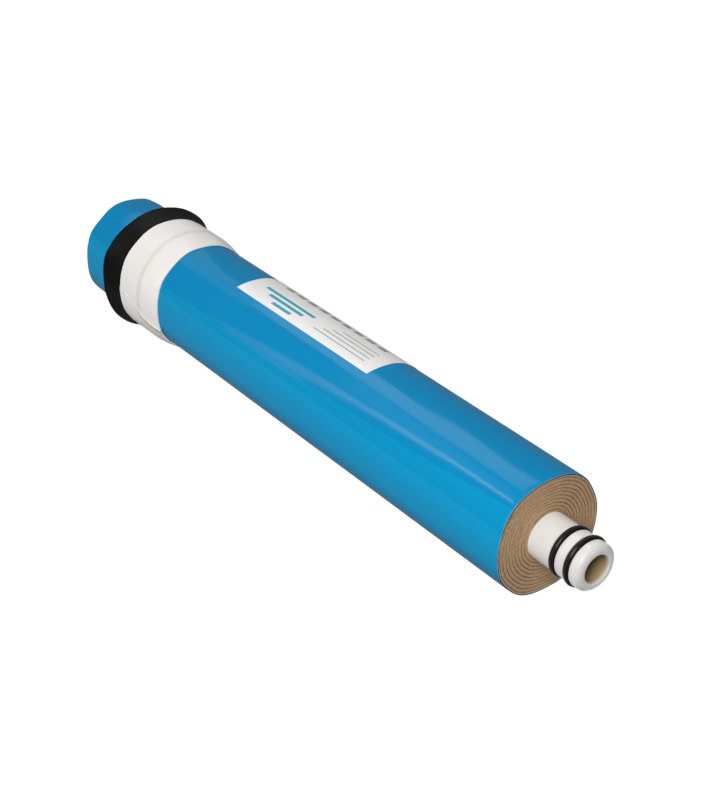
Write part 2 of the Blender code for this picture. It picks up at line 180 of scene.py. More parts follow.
class FilmSizes(PropertyGroup):
    """The blue film and the label on it."""
    wall: length("Wall", "Thickness of the wrapped film", 0.00060)
    end_step: length("End Step", "Height of the film's outer end", 0.00015)
    seam: angle("Seam", "Angle of the film's outer end", 111.6)
    # Past the seam the film is painted paler: partly a real step in tone, partly painted light
    pale_to: amount("Pale To", "Radians past the seam at which the film is palest", 0.60)
    pale_gone: amount("Pale Gone", "Radians past the seam at which the film has its own blue", 0.95)
    inner_end: angle("Inner End", "From the film's inner end to the seam, at the feed end", 8.1)
    inner_end_slant: angle("Inner End Slant", "How much more it is at the spigot end", 15.0)
    inner_end_bend: amount("Inner End Bend", "How late along the roll the inner end slants", 3.5)
    turn_in_length: length("Turn In Length", "Stretch of the rim that turns in", 0.0022)
    turn_in: length("Turn In", "How far the rim turns in", 0.00012)
    # Painted highlight: this stretch of the rim is coloured pale grey for the light on its round
    worn_rim: length("Worn Rim", "Stretch of the rim that is worn pale", 0.00013)
    glue_share: amount("Glue Share", "Share of the film's cut edge that is adhesive", 0.3)
    ripple: length("Ripple", "Height of the film's soft ripples", 0.00005)
    steps: count("Steps", "Steps round the film", 360)
    label_gap: length("Label Gap", "Adhesive under the label", 0.00006)
    label_wall: length("Label Thickness", "Thickness of the label", 0.00012)
    label_edge: angle("Label Edge", "Angle of the label's leading edge", 62)
    label_width: length("Label Width", "Label size round the roll", 0.050)


class SealSizes(PropertyGroup):
    """The brine seal and the white tape over its foot."""
    foot_length: length("Foot Length", "Foot of the seal along the roll", 0.0232)
    foot: length("Foot", "Thickness of the foot", 0.0012)
    tail_length: length("Tail Length", "Stretch over which the foot thins out", 0.0090)
    tail: length("Tail", "Thickness at the end of the tail", 0.00025)
    hug: amount("Hug", "Share of the film's hollows that the foot follows", 0.5)
    lip_length: length("Lip Length", "Length of the flared lip", 0.0093)
    lip_root: length("Lip Root", "Thickness of the lip at its root", 0.0013)
    lip_tip: length("Lip Tip", "Thickness of the lip at its tip", 0.0009)
    lip_set_back: length("Lip Set Back", "How far the groove inside reaches past the root", 0.0020)
    lip_trim: length("Lip Trim", "How far the lip stays inside its solid's edge", 0.00005)
    lip_kink: length("Lip Kink", "How far the lip's edge stands out at its kink", 0.00020)
    lip_kink_angle: angle("Lip Kink Angle", "Angle of the kink in the lip", 105)
    tape: length("Tape", "Thickness of the white tape", 0.00030)
    crease_at: length("Crease At", "Crease in the tape, from its edge", 0.0139)
    crease_depth: length("Crease Depth", "Depth of the crease", 0.00036)
    crease_spread: length("Crease Spread", "Half width of the crease", 0.0014)
    clearance: length("Clearance", "Air under the seal and the tape", 0.00015)
    lap: length("Lap", "Height of the tape's end", 0.00028)
    lap_angle: angle("Lap Angle", "Angle of the tape's end at the seal's lip", 131)
    lap_slant: amount("Lap Slant", "Radians that the tape's end turns in a metre", 17.0)
    pucker: length("Pucker", "Height of the pucker beside the tape's end", 0.00050)


class Finishes(PropertyGroup):
    """Colours of the materials."""
    film: tint("Film", "Blue vinyl film", "#0089C0")
    # Painted light: the film past its seam is brightened as if lit, over a real step in tone at its end
    film_pale: tint("Pale Film", "Blue vinyl film where it is stretched thin", "#0E9BD0")
    film_double: tint("Doubled Film", "Blue vinyl film over its inner end", "#0095C8")
    # Painted shade: the cut edge is near-black for the shade at the film's rim, over the vinyl's own duller
    # edge
    film_edge: tint("Film Edge", "Cut edge of the film", "#121C22")
    # The adhesive's pale grey, also used as a painted highlight on the spigot end's rim
    film_glue: tint("Film Adhesive", "Adhesive under the film", "#BCC6C4")
    tube: tint("Tube", "White polypropylene", "#DFDEDC")
    # Painted shade: the bore is darker the deeper it lies
    bore: tint("Bore", "The bore's wall, deep inside", "#A38E66")
    plug: tint("Plug", "White plug", "#E9E5DC")
    rubber: tint("Rubber", "Black nitrile rubber", "#1B1416")
    seal: tint("Seal", "Black EPDM rubber", "#111112")
    tape: tint("Tape", "White vinyl tape", "#ECEAE7")
    tape_stain: tint("Tape Stain", "Dust and adhesive past the tape's end", "#857663")
    label: tint("Label", "White polyester label", "#EDEDED")
    print_teal: tint("Teal Print", "Teal ink", "#14A0B4")
    print_grey: tint("Grey Print", "Grey ink", "#74777B")
    membrane: tint("Membrane", "Tan membrane", "#D3B18A")
    carrier: tint("Carrier", "Tan knit carrier", "#C8A076")
    spacer: tint("Spacer", "Spacer net", "#A9835A")
    # Painted shade: the net deep between the sheets is dark brown for the shade there
    spacer_deep: tint("Deep Spacer", "Net in the dark between the sheets", "#40240E")
    glue: tint("Glue", "Amber polyurethane glue", "#A58C63")
    floor: tint("Floor", "Pale floor", "#8A8A8A")


class StageSettings(PropertyGroup):
    """Lights and camera."""
    floor_size: length("Floor Size", "Side of the floor", 60.0)
    sky: amount("Sky", "Strength of the plain white surroundings", 0.12)
    key_power: amount("Key Power", "Power of the large key light in watts", 17.5)
    fill_power: amount("Fill Power", "Power of the light behind, in watts", 5.0)
    key_azimuth: angle("Key Azimuth", "Direction of the key light", 88)
    key_rise: angle("Key Rise", "Height of the key light over the roll's middle", 25)
    back_azimuth: angle("Back Azimuth", "Direction of the light behind", 265)
    camera_lens: amount("Lens", "Focal length in millimetres", 75.64)


# Modelling helpers

def start():
    """Nothing selected and object mode, as each piece begins."""
    if bpy.context.mode != 'OBJECT':
        bpy.ops.object.mode_set(mode='OBJECT')
    bpy.ops.object.select_all(action='DESELECT')


def at(radius, turn, z):
    return Vector((radius * math.cos(turn), radius * math.sin(turn), z))


def clamped(share):
    return min(max(share, 0.0), 1.0)


def edit_all(*steps):
    """Runs edit-mode operators on the whole mesh; a step is (operator, settings)."""
    bpy.ops.object.mode_set(mode='EDIT')
    bpy.ops.mesh.select_all(action='SELECT')
    for operator, settings in steps:
        operator(**settings)
    bpy.ops.object.mode_set(mode='OBJECT')


def face_outward():
    edit_all((bpy.ops.mesh.normals_make_consistent, {"inside": False}))


def apply_place():
    bpy.ops.object.transform_apply(location=True, rotation=False, scale=False)


def select_faces(piece, wanted):
    """Selects a mesh's faces for which wanted(face) is true and stays in edit mode."""
    bpy.ops.object.mode_set(mode='EDIT')
    bpy.ops.mesh.select_all(action='DESELECT')
    bpy.ops.object.mode_set(mode='OBJECT')
    for face in piece.data.polygons:
        face.select = wanted(face)
    bpy.ops.object.mode_set(mode='EDIT')


def laid_grid(name, across, along, place):
    """A flat grid laid in its shape: place(column, row) gives each point."""
    start()
    bpy.ops.mesh.primitive_grid_add(x_subdivisions=across, y_subdivisions=along, size=1.0)
    sheet = bpy.context.object
    sheet.name = sheet.data.name = name
    for vertex in sheet.data.vertices:
        column = round((vertex.co.x + 0.5) * across)
        row = round((vertex.co.y + 0.5) * along)
        vertex.co = place(column, row)
    return sheet


def lofted_ring(name, turns, section):
    """A closed ring: section(turn) is its closed (radius, z) outline at each turn.

    A section's point may hold a third number, which turns that point further."""
    rows = [section(turn) for turn in turns]
    sides = len(rows[0])

    def place(column, row):
        radius, z, *further = rows[column % len(turns)][row % sides]
        return at(radius, turns[column % len(turns)] + sum(further), z)

    ring = laid_grid(name, len(turns), sides, place)
    edit_all((bpy.ops.mesh.remove_doubles, {"threshold": WELD}),
             (bpy.ops.mesh.normals_make_consistent, {"inside": False}))
    return ring


def wall(piece, thickness, offset):
    """Gives a sheet its thickness: offset -1 lays it inside, 0 on both sides, 1 outside."""
    modifier = piece.modifiers.new("wall", 'SOLIDIFY')
    modifier.thickness = thickness
    modifier.offset = offset
    modifier.use_even_offset = True
    apply(piece, modifier)


def apply(piece, modifier):
    bpy.context.view_layer.objects.active = piece
    bpy.ops.object.modifier_apply(modifier=modifier.name)


def shade(piece, sharp_degrees=30):
    start()
    piece.select_set(True)
    bpy.context.view_layer.objects.active = piece
    bpy.ops.object.shade_smooth_by_angle(angle=math.radians(sharp_degrees))


def finish_piece(piece, nodes, slot, *materials, sharp_degrees=30):
    """Shades and colours a piece and ties it to the solids that it stands for."""
    shade(piece, sharp_degrees)
    for material in materials:
        piece.data.materials.append(material)
    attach(piece, "root")
    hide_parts(*nodes)


def turned_piece(name, section, steps):
    """Draws a (radius, z) outline point by point with extrude, then spins it round Z."""
    start()
    bpy.ops.mesh.primitive_plane_add(size=MM)
    piece = bpy.context.object
    piece.name = piece.data.name = name
    bpy.ops.object.mode_set(mode='EDIT')
    bpy.ops.mesh.merge(type='CENTER')
    here = Vector((0.0, 0.0, 0.0))
    first = Vector((section[0][0], 0.0, section[0][1]))
    bpy.ops.transform.translate(value=first - here)
    here = first
    for radius, z in section[1:]:
        following = Vector((radius, 0.0, z))
        bpy.ops.mesh.extrude_region_move(TRANSFORM_OT_translate={"value": following - here})
        here = following
    bpy.ops.mesh.select_all(action='SELECT')
    bpy.ops.mesh.edge_face_add()
    bpy.ops.mesh.delete(type='ONLY_FACE')
    bpy.ops.mesh.select_all(action='SELECT')
    bpy.ops.mesh.spin(steps=steps, angle=FULL_TURN, center=(0, 0, 0), axis=(0, 0, 1))
    bpy.ops.mesh.select_all(action='SELECT')
    bpy.ops.mesh.remove_doubles(threshold=2 * WELD)
    bpy.ops.mesh.normals_make_consistent(inside=False)
    bpy.ops.object.mode_set(mode='OBJECT')
    return piece


def round_corner(centre, reach, begin, end, steps):
    """Points of an elliptical round in a (radius, z) outline, ends included."""
    turns = [math.radians(begin + (end - begin) * step / steps) for step in range(steps + 1)]
    return [(centre[0] + reach[0] * math.cos(turn), centre[1] + reach[1] * math.sin(turn))
            for turn in turns]


# Material helpers

def feed(tree, socket, value):
    """Gives a socket a value, or links another node's output to it."""
    if isinstance(value, bpy.types.NodeSocket):
        tree.links.new(value, socket)
    else:
        socket.default_value = value


def add_node(tree, kind, inputs=None, **settings):
    """Adds a node; an input is a value, or another node's output to link from."""
    node = tree.nodes.new(kind)
    for name, value in settings.items():
        setattr(node, name, value)
    for name, value in (inputs or {}).items():
        feed(tree, node.inputs[name], value)
    return node


def new_material(name, **shader_inputs):
    """A Principled material, its node tree and its shader."""
    material = bpy.data.materials.new(name)
    material.use_nodes = True
    tree = material.node_tree
    shader = tree.nodes["Principled BSDF"]
    for socket, value in shader_inputs.items():
        shader.inputs[socket.replace("_", " ")].default_value = value
    return material, tree, shader


def object_place(tree):
    """X, Y and Z of the object's coordinates."""
    place = add_node(tree, "ShaderNodeTexCoord")
    return add_node(tree, "ShaderNodeSeparateXYZ", {"Vector": place.outputs["Object"]}).outputs


def grain(tree, size, detail=2.0, stretch=(1.0, 1.0, 1.0)):
    """Noise on object coordinates, with spots of about the given size in metres."""
    place = add_node(tree, "ShaderNodeTexCoord")
    mapping = add_node(tree, "ShaderNodeMapping", {"Vector": place.outputs["Object"], "Scale": stretch})
    spots = add_node(tree, "ShaderNodeTexNoise",
                     {"Vector": mapping.outputs["Vector"], "Scale": 1 / size, "Detail": detail})
    return spots.outputs["Fac"]


def between(tree, share, low, high, low_at=0.35, high_at=0.65):
    """A colour that goes from low to high as the share goes from low_at to high_at."""
    ramp = add_node(tree, "ShaderNodeValToRGB", {"Fac": share})
    ramp.color_ramp.elements[0].position = low_at
    ramp.color_ramp.elements[0].color = low
    ramp.color_ramp.elements[1].position = high_at
    ramp.color_ramp.elements[1].color = high
    return ramp.outputs["Color"]


def dimmed(colour, factor):
    return (*[min(channel * factor, 1.0) for channel in colour[:3]], 1.0)


def bump(tree, shader, height, depth):
    """Raises the surface by depth in metres where the height is 1."""
    node = add_node(tree, "ShaderNodeBump", {"Height": height, "Distance": depth, "Strength": 1.0})
    tree.links.new(node.outputs["Normal"], shader.inputs["Normal"])


def number(tree, operation, *values):
    """A Math node on values or outputs."""
    node = add_node(tree, "ShaderNodeMath", operation=operation)
    for socket, value in zip(node.inputs, values):
        feed(tree, socket, value)
    return node.outputs["Value"]


def mixed(tree, share, low, high):
    """A colour from low to high by a share; each is a colour or an output."""
    mix = add_node(tree, "ShaderNodeMix", data_type='RGBA')
    values = {"Factor_Float": share, "A_Color": low, "B_Color": high}
    for socket in mix.inputs:
        if socket.identifier in values:
            feed(tree, socket, values[socket.identifier])
    return next(s for s in mix.outputs if s.identifier == "Result_Color")


# Materials, each named for what the real one is

# Where one colour wanders between two shades: which tint, the shades, the size and detail of the spots,
# then the shader's own values
MOTTLED = {
    # Moulded polypropylene: warm white, satin, slightly clouded
    "moulded_polypropylene": dict(
        tint="tube", shades=(0.97, 1.0), spot=0.006, relief=(0.0004, 0.000004), Roughness=0.34, IOR=1.49,
        Diffuse_Roughness=0.6, Subsurface_Weight=0.35, Subsurface_Radius=(0.0040, 0.0036, 0.0032),
        Subsurface_Scale=1.0),
    # A moulded plug, a little duller and greyer than the tube
    "moulded_plug": dict(tint="plug", shades=(0.94, 1.0), spot=0.004, Roughness=0.42, IOR=1.49),
    # Black nitrile rings with a film of silicone grease: soft highlights, fine specks
    "greased_nitrile": dict(
        tint="rubber", shades=(0.85, 1.5), spot=0.0008, detail=3.0, relief=(0.0011, 0.000015),
        Roughness=0.5, Specular_IOR_Level=0.0, Coat_Weight=0.38, Coat_Roughness=0.27),
    # Polysulphone-coated nonwoven: matt tan, mottled at its cut edge
    "tan_membrane": dict(tint="membrane", shades=(0.80, 1.12), spot=0.0011, detail=4.0,
                         relief=(0.0003, 0.00003), Roughness=0.70),
    # Epoxy-stiffened polyester knit, its ribs cut through and soaked with glue
    "glued_knit_carrier": dict(tint="carrier", shades=(0.72, 1.15), spot=0.0007, detail=3.0,
                               relief=(0.0004, 0.00004), Roughness=0.60),
    # Extruded polypropylene net, dyed by the feed water
    "spacer_net": dict(tint="spacer", shades=(0.75, 1.15), spot=0.0010, detail=3.0, Roughness=0.55),
    # The net deep between the sheets, painted near-black brown for the shade that falls there
    "deep_net": dict(tint="spacer_deep", shades=(0.7, 1.0), spot=0.0008, Roughness=0.70),
    # Cured polyurethane glue: glossy, amber, uneven in depth
    "amber_glue": dict(tint="glue", shades=(0.7, 1.2), spot=0.0016, detail=3.0,
                       relief=(0.0009, 0.00004), Roughness=0.38, IOR=1.50),
    # Cut vinyl, duller than its face, painted near-black for the shade at the film's rim
    "film_cut_edge": dict(tint="film_edge", shades=(0.8, 1.3), spot=0.0006,
                          Roughness=0.75, Specular_IOR_Level=0.1),
    # Milky acrylic adhesive shows as a pale grey line under the film's cut edge; the same pale grey on the
    # spigot end's rim is a painted highlight
    "film_adhesive": dict(tint="film_glue", shades=(0.8, 1.15), spot=0.0009, Roughness=0.45),
    # Moulded seal rubber: satin black with a faint dusty bloom
    "moulded_epdm": dict(
        tint="seal", shades=(1.0, 1.9), spot=0.009, detail=4.0, change=(0.45, 0.75),
        relief=(0.0005, 0.00001), Roughness=0.6, Specular_IOR_Level=0.0, Coat_Weight=0.08,
        Coat_Roughness=0.38),
    # The cut end of the tape: dust on its adhesive, and painted shade that darkens the line at the step
    "dusty_tape_edge": dict(tint="tape", shades=(0.60, 0.92), spot=0.0012, detail=3.0, Roughness=0.8),
}


def mottled(name, colours, *, tint, shades, spot, detail=2.0, change=(0.35, 0.65), relief=None,
            **shader_inputs):
    """One of the mottled materials; its relief is the size and the depth of the bumps."""
    material, tree, shader = new_material(name, **shader_inputs)
    dark, light = [dimmed(getattr(colours, tint), shade) for shade in shades]
    shade_here = between(tree, grain(tree, spot, detail), dark, light, *change)
    tree.links.new(shade_here, shader.inputs["Base Color"])
    if relief:
        size, depth = relief
        bump(tree, shader, grain(tree, size), depth)
    return material


def material_of(name, context):
    return mottled(name, context.scene.finishes, **MOTTLED[name])


def gloss_vinyl_film(colours, film):
    """Vinyl tape with clear reflections, paler over its slanting inner end, and paler after its seam: a real
    step in tone at the film's end, with painted light brightening the film beyond it.
    """
    material, tree, shader = new_material("gloss_vinyl_film", Roughness=0.5, Specular_IOR_Level=0.0,
                                          Coat_Weight=0.13, Coat_Roughness=0.14, Diffuse_Roughness=0.1)
    x, y, z = object_place(tree)
    turn = number(tree, 'ARCTAN2', y, x)
    past_seam = number(tree, 'FLOORED_MODULO', number(tree, 'SUBTRACT', turn, film.seam), FULL_TURN)
    # Painted light past the seam, over the real step in tone at the film's end
    pale = between(tree, past_seam, colours.film_pale, colours.film, film.pale_to, film.pale_gone)
    to_seam = number(tree, 'SUBTRACT', FULL_TURN, past_seam)
    risen = number(tree, 'POWER', number(tree, 'DIVIDE', z, ROLL_TOP), film.inner_end_bend)
    inner_end = number(tree, 'MULTIPLY_ADD', risen, film.inner_end_slant, film.inner_end)
    doubled = mixed(tree, number(tree, 'LESS_THAN', to_seam, inner_end), pale, colours.film_double)
    clouds = number(tree, 'MULTIPLY', grain(tree, 0.030, stretch=(1.0, 1.0, 0.35)), 0.15)
    tree.links.new(mixed(tree, clouds, doubled, dimmed(colours.film, 0.75)), shader.inputs["Base Color"])
    bump(tree, shader, grain(tree, 0.0022, 2.0, (1.0, 1.0, 0.5)), 0.000016)
    return material


def bore_wall(colours):
    """The bore's wall: the tube's white dimmed at the mouth, turning brown deeper in; the darkening with
    depth is painted shade.
    """
    material, tree, shader = new_material("bore_wall", Roughness=0.60, Specular_IOR_Level=0.2)
    full_depth = 0.006
    depth = number(tree, 'DIVIDE', number(tree, 'SUBTRACT', TUBE_TOP, object_place(tree)["Z"]), full_depth)
    tree.links.new(between(tree, depth, dimmed(colours.tube, 0.7), colours.bore, 0.05, 0.2),
                   shader.inputs["Base Color"])
    return material


def white_vinyl_tape(colours, sizes):
    """Soft white vinyl tape: a low gloss, painted shade darkening its crease, and a stain past its end's
    pucker.
    """
    material, tree, shader = new_material("white_vinyl_tape", Roughness=0.5, Specular_IOR_Level=0.0,
                                          Coat_Weight=0.2, Coat_Roughness=0.3, Diffuse_Roughness=0.35)
    clouds = between(tree, grain(tree, 0.012), dimmed(colours.tape, 0.965), colours.tape)
    x, y, z = object_place(tree)
    height = number(tree, 'SUBTRACT', z, TAPE_Z)
    from_crease = number(tree, 'ABSOLUTE', number(tree, 'SUBTRACT', height, sizes.crease_at))
    away = number(tree, 'DIVIDE', from_crease, 1.4 * sizes.crease_spread)
    # Painted shade: the tape is darkened along its crease
    crease_painted_shade = between(tree, away, dimmed(colours.tape, 0.74), colours.tape, 0.1, 1.0)
    turn = number(tree, 'ARCTAN2', y, x)
    slant = number(tree, 'MULTIPLY_ADD', height, sizes.lap_slant, sizes.lap_angle)
    past = number(tree, 'FLOORED_MODULO', number(tree, 'SUBTRACT', turn, slant), FULL_TURN)
    beside = between(tree, past, linear("#FFFFFF"), linear("#000000"), 0.02, 0.20)
    beyond = number(tree, 'MINIMUM', number(tree, 'MULTIPLY_ADD', height, 100.0, -1.25), 0.75)
    stain = number(tree, 'MULTIPLY', beside, number(tree, 'MULTIPLY', beyond, grain(tree, 0.002, 3.0)))
    base = mixed(tree, stain, mixed(tree, 0.5, clouds, crease_painted_shade), colours.tape_stain)
    tree.links.new(base, shader.inputs["Base Color"])
    bump(tree, shader, grain(tree, 0.0018, 1.0, (0.5, 0.5, 2.0)), 0.00001)
    return material


def printed_field(tree, along, around, field):
    """1 inside a printed field, given as (low, high) along and around in metres."""
    masks = [number(tree, 'COMPARE', axis, (low + high) / 2, (high - low) / 2)
             for axis, (low, high) in zip((along, around), field)]
    return number(tree, 'MULTIPLY', *masks)


def field_row(count_of, first, step):
    """Fields as (from along, to along, from around, to around) in millimetres, each a step on."""
    rows = [[value + move * place for value, move in zip(first, step)] for place in range(count_of)]
    return [((row[0] * MM, row[1] * MM), (row[2] * MM, row[3] * MM)) for row in rows]


def printed_label(colours, label_length, label_width):
    """White polyester label with a plain print of stepped bars, boxes, writing lines and a table."""
    material, tree, shader = new_material("printed_label", Roughness=0.45, Specular_IOR_Level=0.2,
                                          Diffuse_Roughness=0.15)
    place = add_node(tree, "ShaderNodeUVMap")
    split = add_node(tree, "ShaderNodeSeparateXYZ", {"Vector": place.outputs["UV"]})
    along = number(tree, 'MULTIPLY', split.outputs["Y"], label_length)
    around = number(tree, 'MULTIPLY', split.outputs["X"], label_width)

    bars = field_row(3, (8.0, 40.0, 40.0, 41.6), (6.0, -4.0, 3.0, 3.0))
    writing_lines = field_row(4, (46.0, 77.5, 45.5, 45.9), (3.0, 0.0, -2.4, -2.4))
    boxes = field_row(9, (10.0, 15.2, 30.5, 33.5), (7.4, 7.4, 0.0, 0.0))
    table_rows = field_row(6, (10.0, 76.5, 5.0, 5.3), (0.0, 0.0, 3.4, 3.4))
    table_columns = field_row(4, (10.0, 10.3, 5.0, 22.3), (22.0, 22.0, 0.0, 0.0))
    ground = colours.label
    for ink, fields in ((colours.print_teal, bars),
                        (colours.print_grey, writing_lines + boxes + table_rows + table_columns)):
        inked = 0.0
        for field in fields:
            inked = number(tree, 'MAXIMUM', inked, printed_field(tree, along, around, field))
        ground = mixed(tree, inked, ground, ink)
    tree.links.new(ground, shader.inputs["Base Color"])
    return material


def pale_floor(colours):
    """Matt pale floor; the camera and mirror rays also see the white of a light table."""
    table_white = 0.92
    material, tree, shader = new_material("pale_floor", Base_Color=colours.floor, Roughness=0.9,
                                          Specular_IOR_Level=0.1, Emission_Color=linear("#FFFFFF"))
    rays = add_node(tree, "ShaderNodeLightPath")
    seen = number(tree, 'MAXIMUM', rays.outputs["Is Camera Ray"],
                  number(tree, 'MAXIMUM', rays.outputs["Is Glossy Ray"], rays.outputs["Is Transmission Ray"]))
    tree.links.new(number(tree, 'MULTIPLY', seen, table_white), shader.inputs["Emission Strength"])
    return material


# The tube, its plug and its rings

def ring_size(node):
    """Height, section radius and centre-line radius of an O-ring."""
    low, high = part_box(node)
    section = (high.z - low.z) / 2
    return (low.z + high.z) / 2, section, high.x - section


def ring_groove(sizes, node):
    """The groove's corners, up the outside of the tube."""
    height, section, centre_r = ring_size(node)
    floor_r = centre_r - section - sizes.floor_clearance
    half = section + sizes.ring_clearance
    return [(TUBE_R, height - half), (floor_r, height - half),
            (floor_r, height + half), (TUBE_R, height + half)]


def permeate_drills(sizes):
    """One long drill for each pair of opposite holes, every second one turned a quarter."""
    drilled = ROLL_TOP - 2 * sizes.hole_margin
    holes = int(drilled / sizes.hole_pitch + 0.001) + 1
    first = ROLL_TOP / 2 - (holes - 1) * sizes.hole_pitch / 2
    start()
    for hole in range(holes):
        rotation = (math.pi / 2, 0, 0) if hole % 2 else (0, math.pi / 2, 0)
        bpy.ops.mesh.primitive_cylinder_add(
            vertices=32, radius=sizes.hole / 2, depth=2 * (TUBE_R + sizes.hole),
            location=(0, 0, first + hole * sizes.hole_pitch), rotation=rotation)
        drill = bpy.context.object
        drill.name = f"drill_{hole}"
    for thing in bpy.data.objects:
        thing.select_set(thing.name.startswith("drill_"))
    bpy.ops.object.join()
    return bpy.context.object


class MESH_OT_permeate_tube(Operator):
    """Model the perforated tube with its grooved spigot"""
    bl_idname = "mesh.permeate_tube"
    bl_label = "Permeate Tube"

    def execute(self, context):
        sizes = context.scene.spigot_sizes
        bore_r = sizes.bore / 2
        steps = sizes.round_steps
        nose = (TUBE_R - sizes.nose_depth, TUBE_TOP - sizes.nose_length)
        mouth = (bore_r + sizes.mouth_depth, TUBE_TOP - sizes.mouth_length)
        section = [(bore_r, 0.0), (TUBE_R, 0.0), (TUBE_R, ROLL_TOP)]
        section += ring_groove(sizes, "o_ring_inner") + ring_groove(sizes, "o_ring_outer")
        section += round_corner(nose, (sizes.nose_depth, sizes.nose_length), 0, 90, steps)
        section += round_corner(mouth, (sizes.mouth_depth, sizes.mouth_length), 90, 180, steps)[1:]
        tube = turned_piece("tube", section, sizes.turn_steps)
        drills = permeate_drills(sizes)
        cut = tube.modifiers.new("permeate_holes", 'BOOLEAN')
        cut.operation = 'DIFFERENCE'
        cut.solver = 'EXACT'
        cut.object = drills
        apply(tube, cut)
        bpy.data.objects.remove(drills)
        finish_piece(tube, ["permeate_tube"], "tube_plastic", material_of("moulded_polypropylene", context),
                     bore_wall(context.scene.finishes), sharp_degrees=40)
        # Faces inside the bore's mouth take the bore's colour, with its painted shade
        for face in tube.data.polygons:
            middle = face.center
            inside = middle.xy.length < bore_r + 0.5 * sizes.mouth_depth and middle.xy.dot(face.normal.xy) < 0
            face.material_index = int(inside)
        return {'FINISHED'}


class MESH_OT_tube_plug(Operator):
    """Model the plug that closes the tube at the feed end"""
    bl_idname = "mesh.tube_plug"
    bl_label = "Tube Plug"

    def execute(self, context):
        low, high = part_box("tube_plug")
        sizes = context.scene.spigot_sizes
        chamfer, rim, recess = 0.0008, 0.0011, 0.0006
        start()
        bpy.ops.mesh.primitive_cylinder_add(
            vertices=sizes.turn_steps, radius=sizes.bore / 2, depth=high.z - low.z,
            location=(0, 0, (low.z + high.z) / 2))
        plug = bpy.context.object
        plug.name = plug.data.name = "plug"
        apply_place()
        select_faces(plug, lambda face: face.normal.z > 0.9)
        bpy.ops.mesh.bevel(offset=chamfer, segments=3, affect='EDGES')
        select_faces(plug, lambda face: face.normal.z < -0.9)
        bpy.ops.mesh.inset(thickness=rim)
        bpy.ops.mesh.extrude_region_move(TRANSFORM_OT_translate={"value": (0, 0, recess)})
        bpy.ops.mesh.inset(thickness=rim * 1.6)
        bpy.ops.object.mode_set(mode='OBJECT')
        finish_piece(plug, ["tube_plug"], "plug_plastic", material_of("moulded_plug", context))
        return {'FINISHED'}


class MESH_OT_o_rings(Operator):
    """Model the two O-rings with the fine line where their mould parted"""
    bl_idname = "mesh.o_rings"
    bl_label = "O-Rings"

    def execute(self, context):
        rubber = material_of("greased_nitrile", context)
        flash = 0.00003
        for node in ("o_ring_inner", "o_ring_outer"):
            height, section, centre_r = ring_size(node)
            start()
            bpy.ops.mesh.primitive_torus_add(
                major_radius=centre_r - flash, minor_radius=section, location=(0, 0, height),
                major_segments=144, minor_segments=36)
            ring = bpy.context.object
            ring.name = ring.data.name = f"{node}_rubber"
            apply_place()
            outermost = max(vertex.co.xy.length for vertex in ring.data.vertices)
            for vertex in ring.data.vertices:
                if vertex.co.xy.length > outermost - flash / 10:
                    vertex.co.xy *= 1 + flash / outermost
            finish_piece(ring, [node], "o_ring_rubber", rubber, sharp_degrees=60)
        return {'FINISHED'}


# The wound sheets: a turn counts from the carrier's inner edge

def winding(sizes):
    """Offsets of the sheets above the carrier's inner side, and the turn that ends the leaf."""
    lower = sizes.carrier + sizes.gap
    spacer = lower + sizes.membrane + sizes.gap
    upper = spacer + sizes.spacer + sizes.gap
    return lower, spacer, upper, 1.0 + sizes.leaf_turns


def stack_height(sizes, turn):
    """From the carrier's inner side to the inner side of what lies on the stack there."""
    leaf = 2 * sizes.membrane + sizes.spacer + 3 * sizes.gap
    share = clamped((turn - 1.0 + sizes.ramp_turns) / sizes.ramp_turns)
    return sizes.carrier + sizes.gap + share * leaf


def carrier_radius(sizes, turn):
    radius = CARRIER_START_R
    while turn >= 1.0:
        turn -= 1.0
        radius += stack_height(sizes, turn)
    return radius


def turn_angle(sizes, turn):
    return sizes.leaf_end + (turn - winding(sizes)[3]) * FULL_TURN


def on_winding(sizes, turn, offset, z):
    return at(carrier_radius(sizes, turn) + offset, turn_angle(sizes, turn), z)


def roll_rise(context, turn, z):
    """How far the film lies above the even winding; straight across the leaf's end."""
    sizes, film = context.scene.roll_sizes, context.scene.film_sizes
    end = winding(sizes)[3]

    def rise(past):
        on_top = end - 1.0 + past / FULL_TURN
        stack = carrier_radius(sizes, on_top) + stack_height(sizes, on_top)
        return film_radius(film, sizes.leaf_end + past, z, lap=0.0) - film.wall - stack

    past = (turn - sizes.leaf_end) % FULL_TURN
    if past < sizes.bridge:
        share = past / sizes.bridge
        return rise(FULL_TURN - 0.001) * (1 - share) + rise(sizes.bridge) * share
    return rise(past)


def rise_tables(context):
    """The winding's rises at the two ends, read in steps of a degree."""
    return [[roll_rise(context, math.radians(degree), z) for degree in range(360)] for z in (0.0, ROLL_TOP)]


def settled(context, tables, point):
    """A point of a sheet in the lumpy roll; lumps fade towards the tube."""
    sizes = context.scene.roll_sizes
    last_turn = carrier_radius(sizes, winding(sizes)[3] - 1.0)
    radius = point.xy.length
    depth = clamped((radius - CARRIER_START_R) / (last_turn - CARRIER_START_R))
    turn = math.atan2(point.y, point.x)
    share = point.z / ROLL_TOP
    rise = read_round(tables[0], turn) * (1 - share) + read_round(tables[1], turn) * share
    return at(radius + rise * depth ** 2, turn, point.z)


def settle(context, piece):
    """Lays a whole piece of the winding into the lumpy roll."""
    tables = rise_tables(context)
    for vertex in piece.data.vertices:
        vertex.co = settled(context, tables, vertex.co)


def ragged_z(sizes, point, top):
    """Cut edges lie a little below the end face, with fine teeth on a coarser wave."""
    teeth, wave = [0.5 + 0.5 * noise.noise(point * per_metre) for per_metre in (900.0, 240.0)]
    drop = sizes.ragged * teeth * wave
    return ROLL_TOP - drop if top else drop


SHEET_ROWS = 5
ROWS_BELOW_EDGE = (0.0015, 0.006)


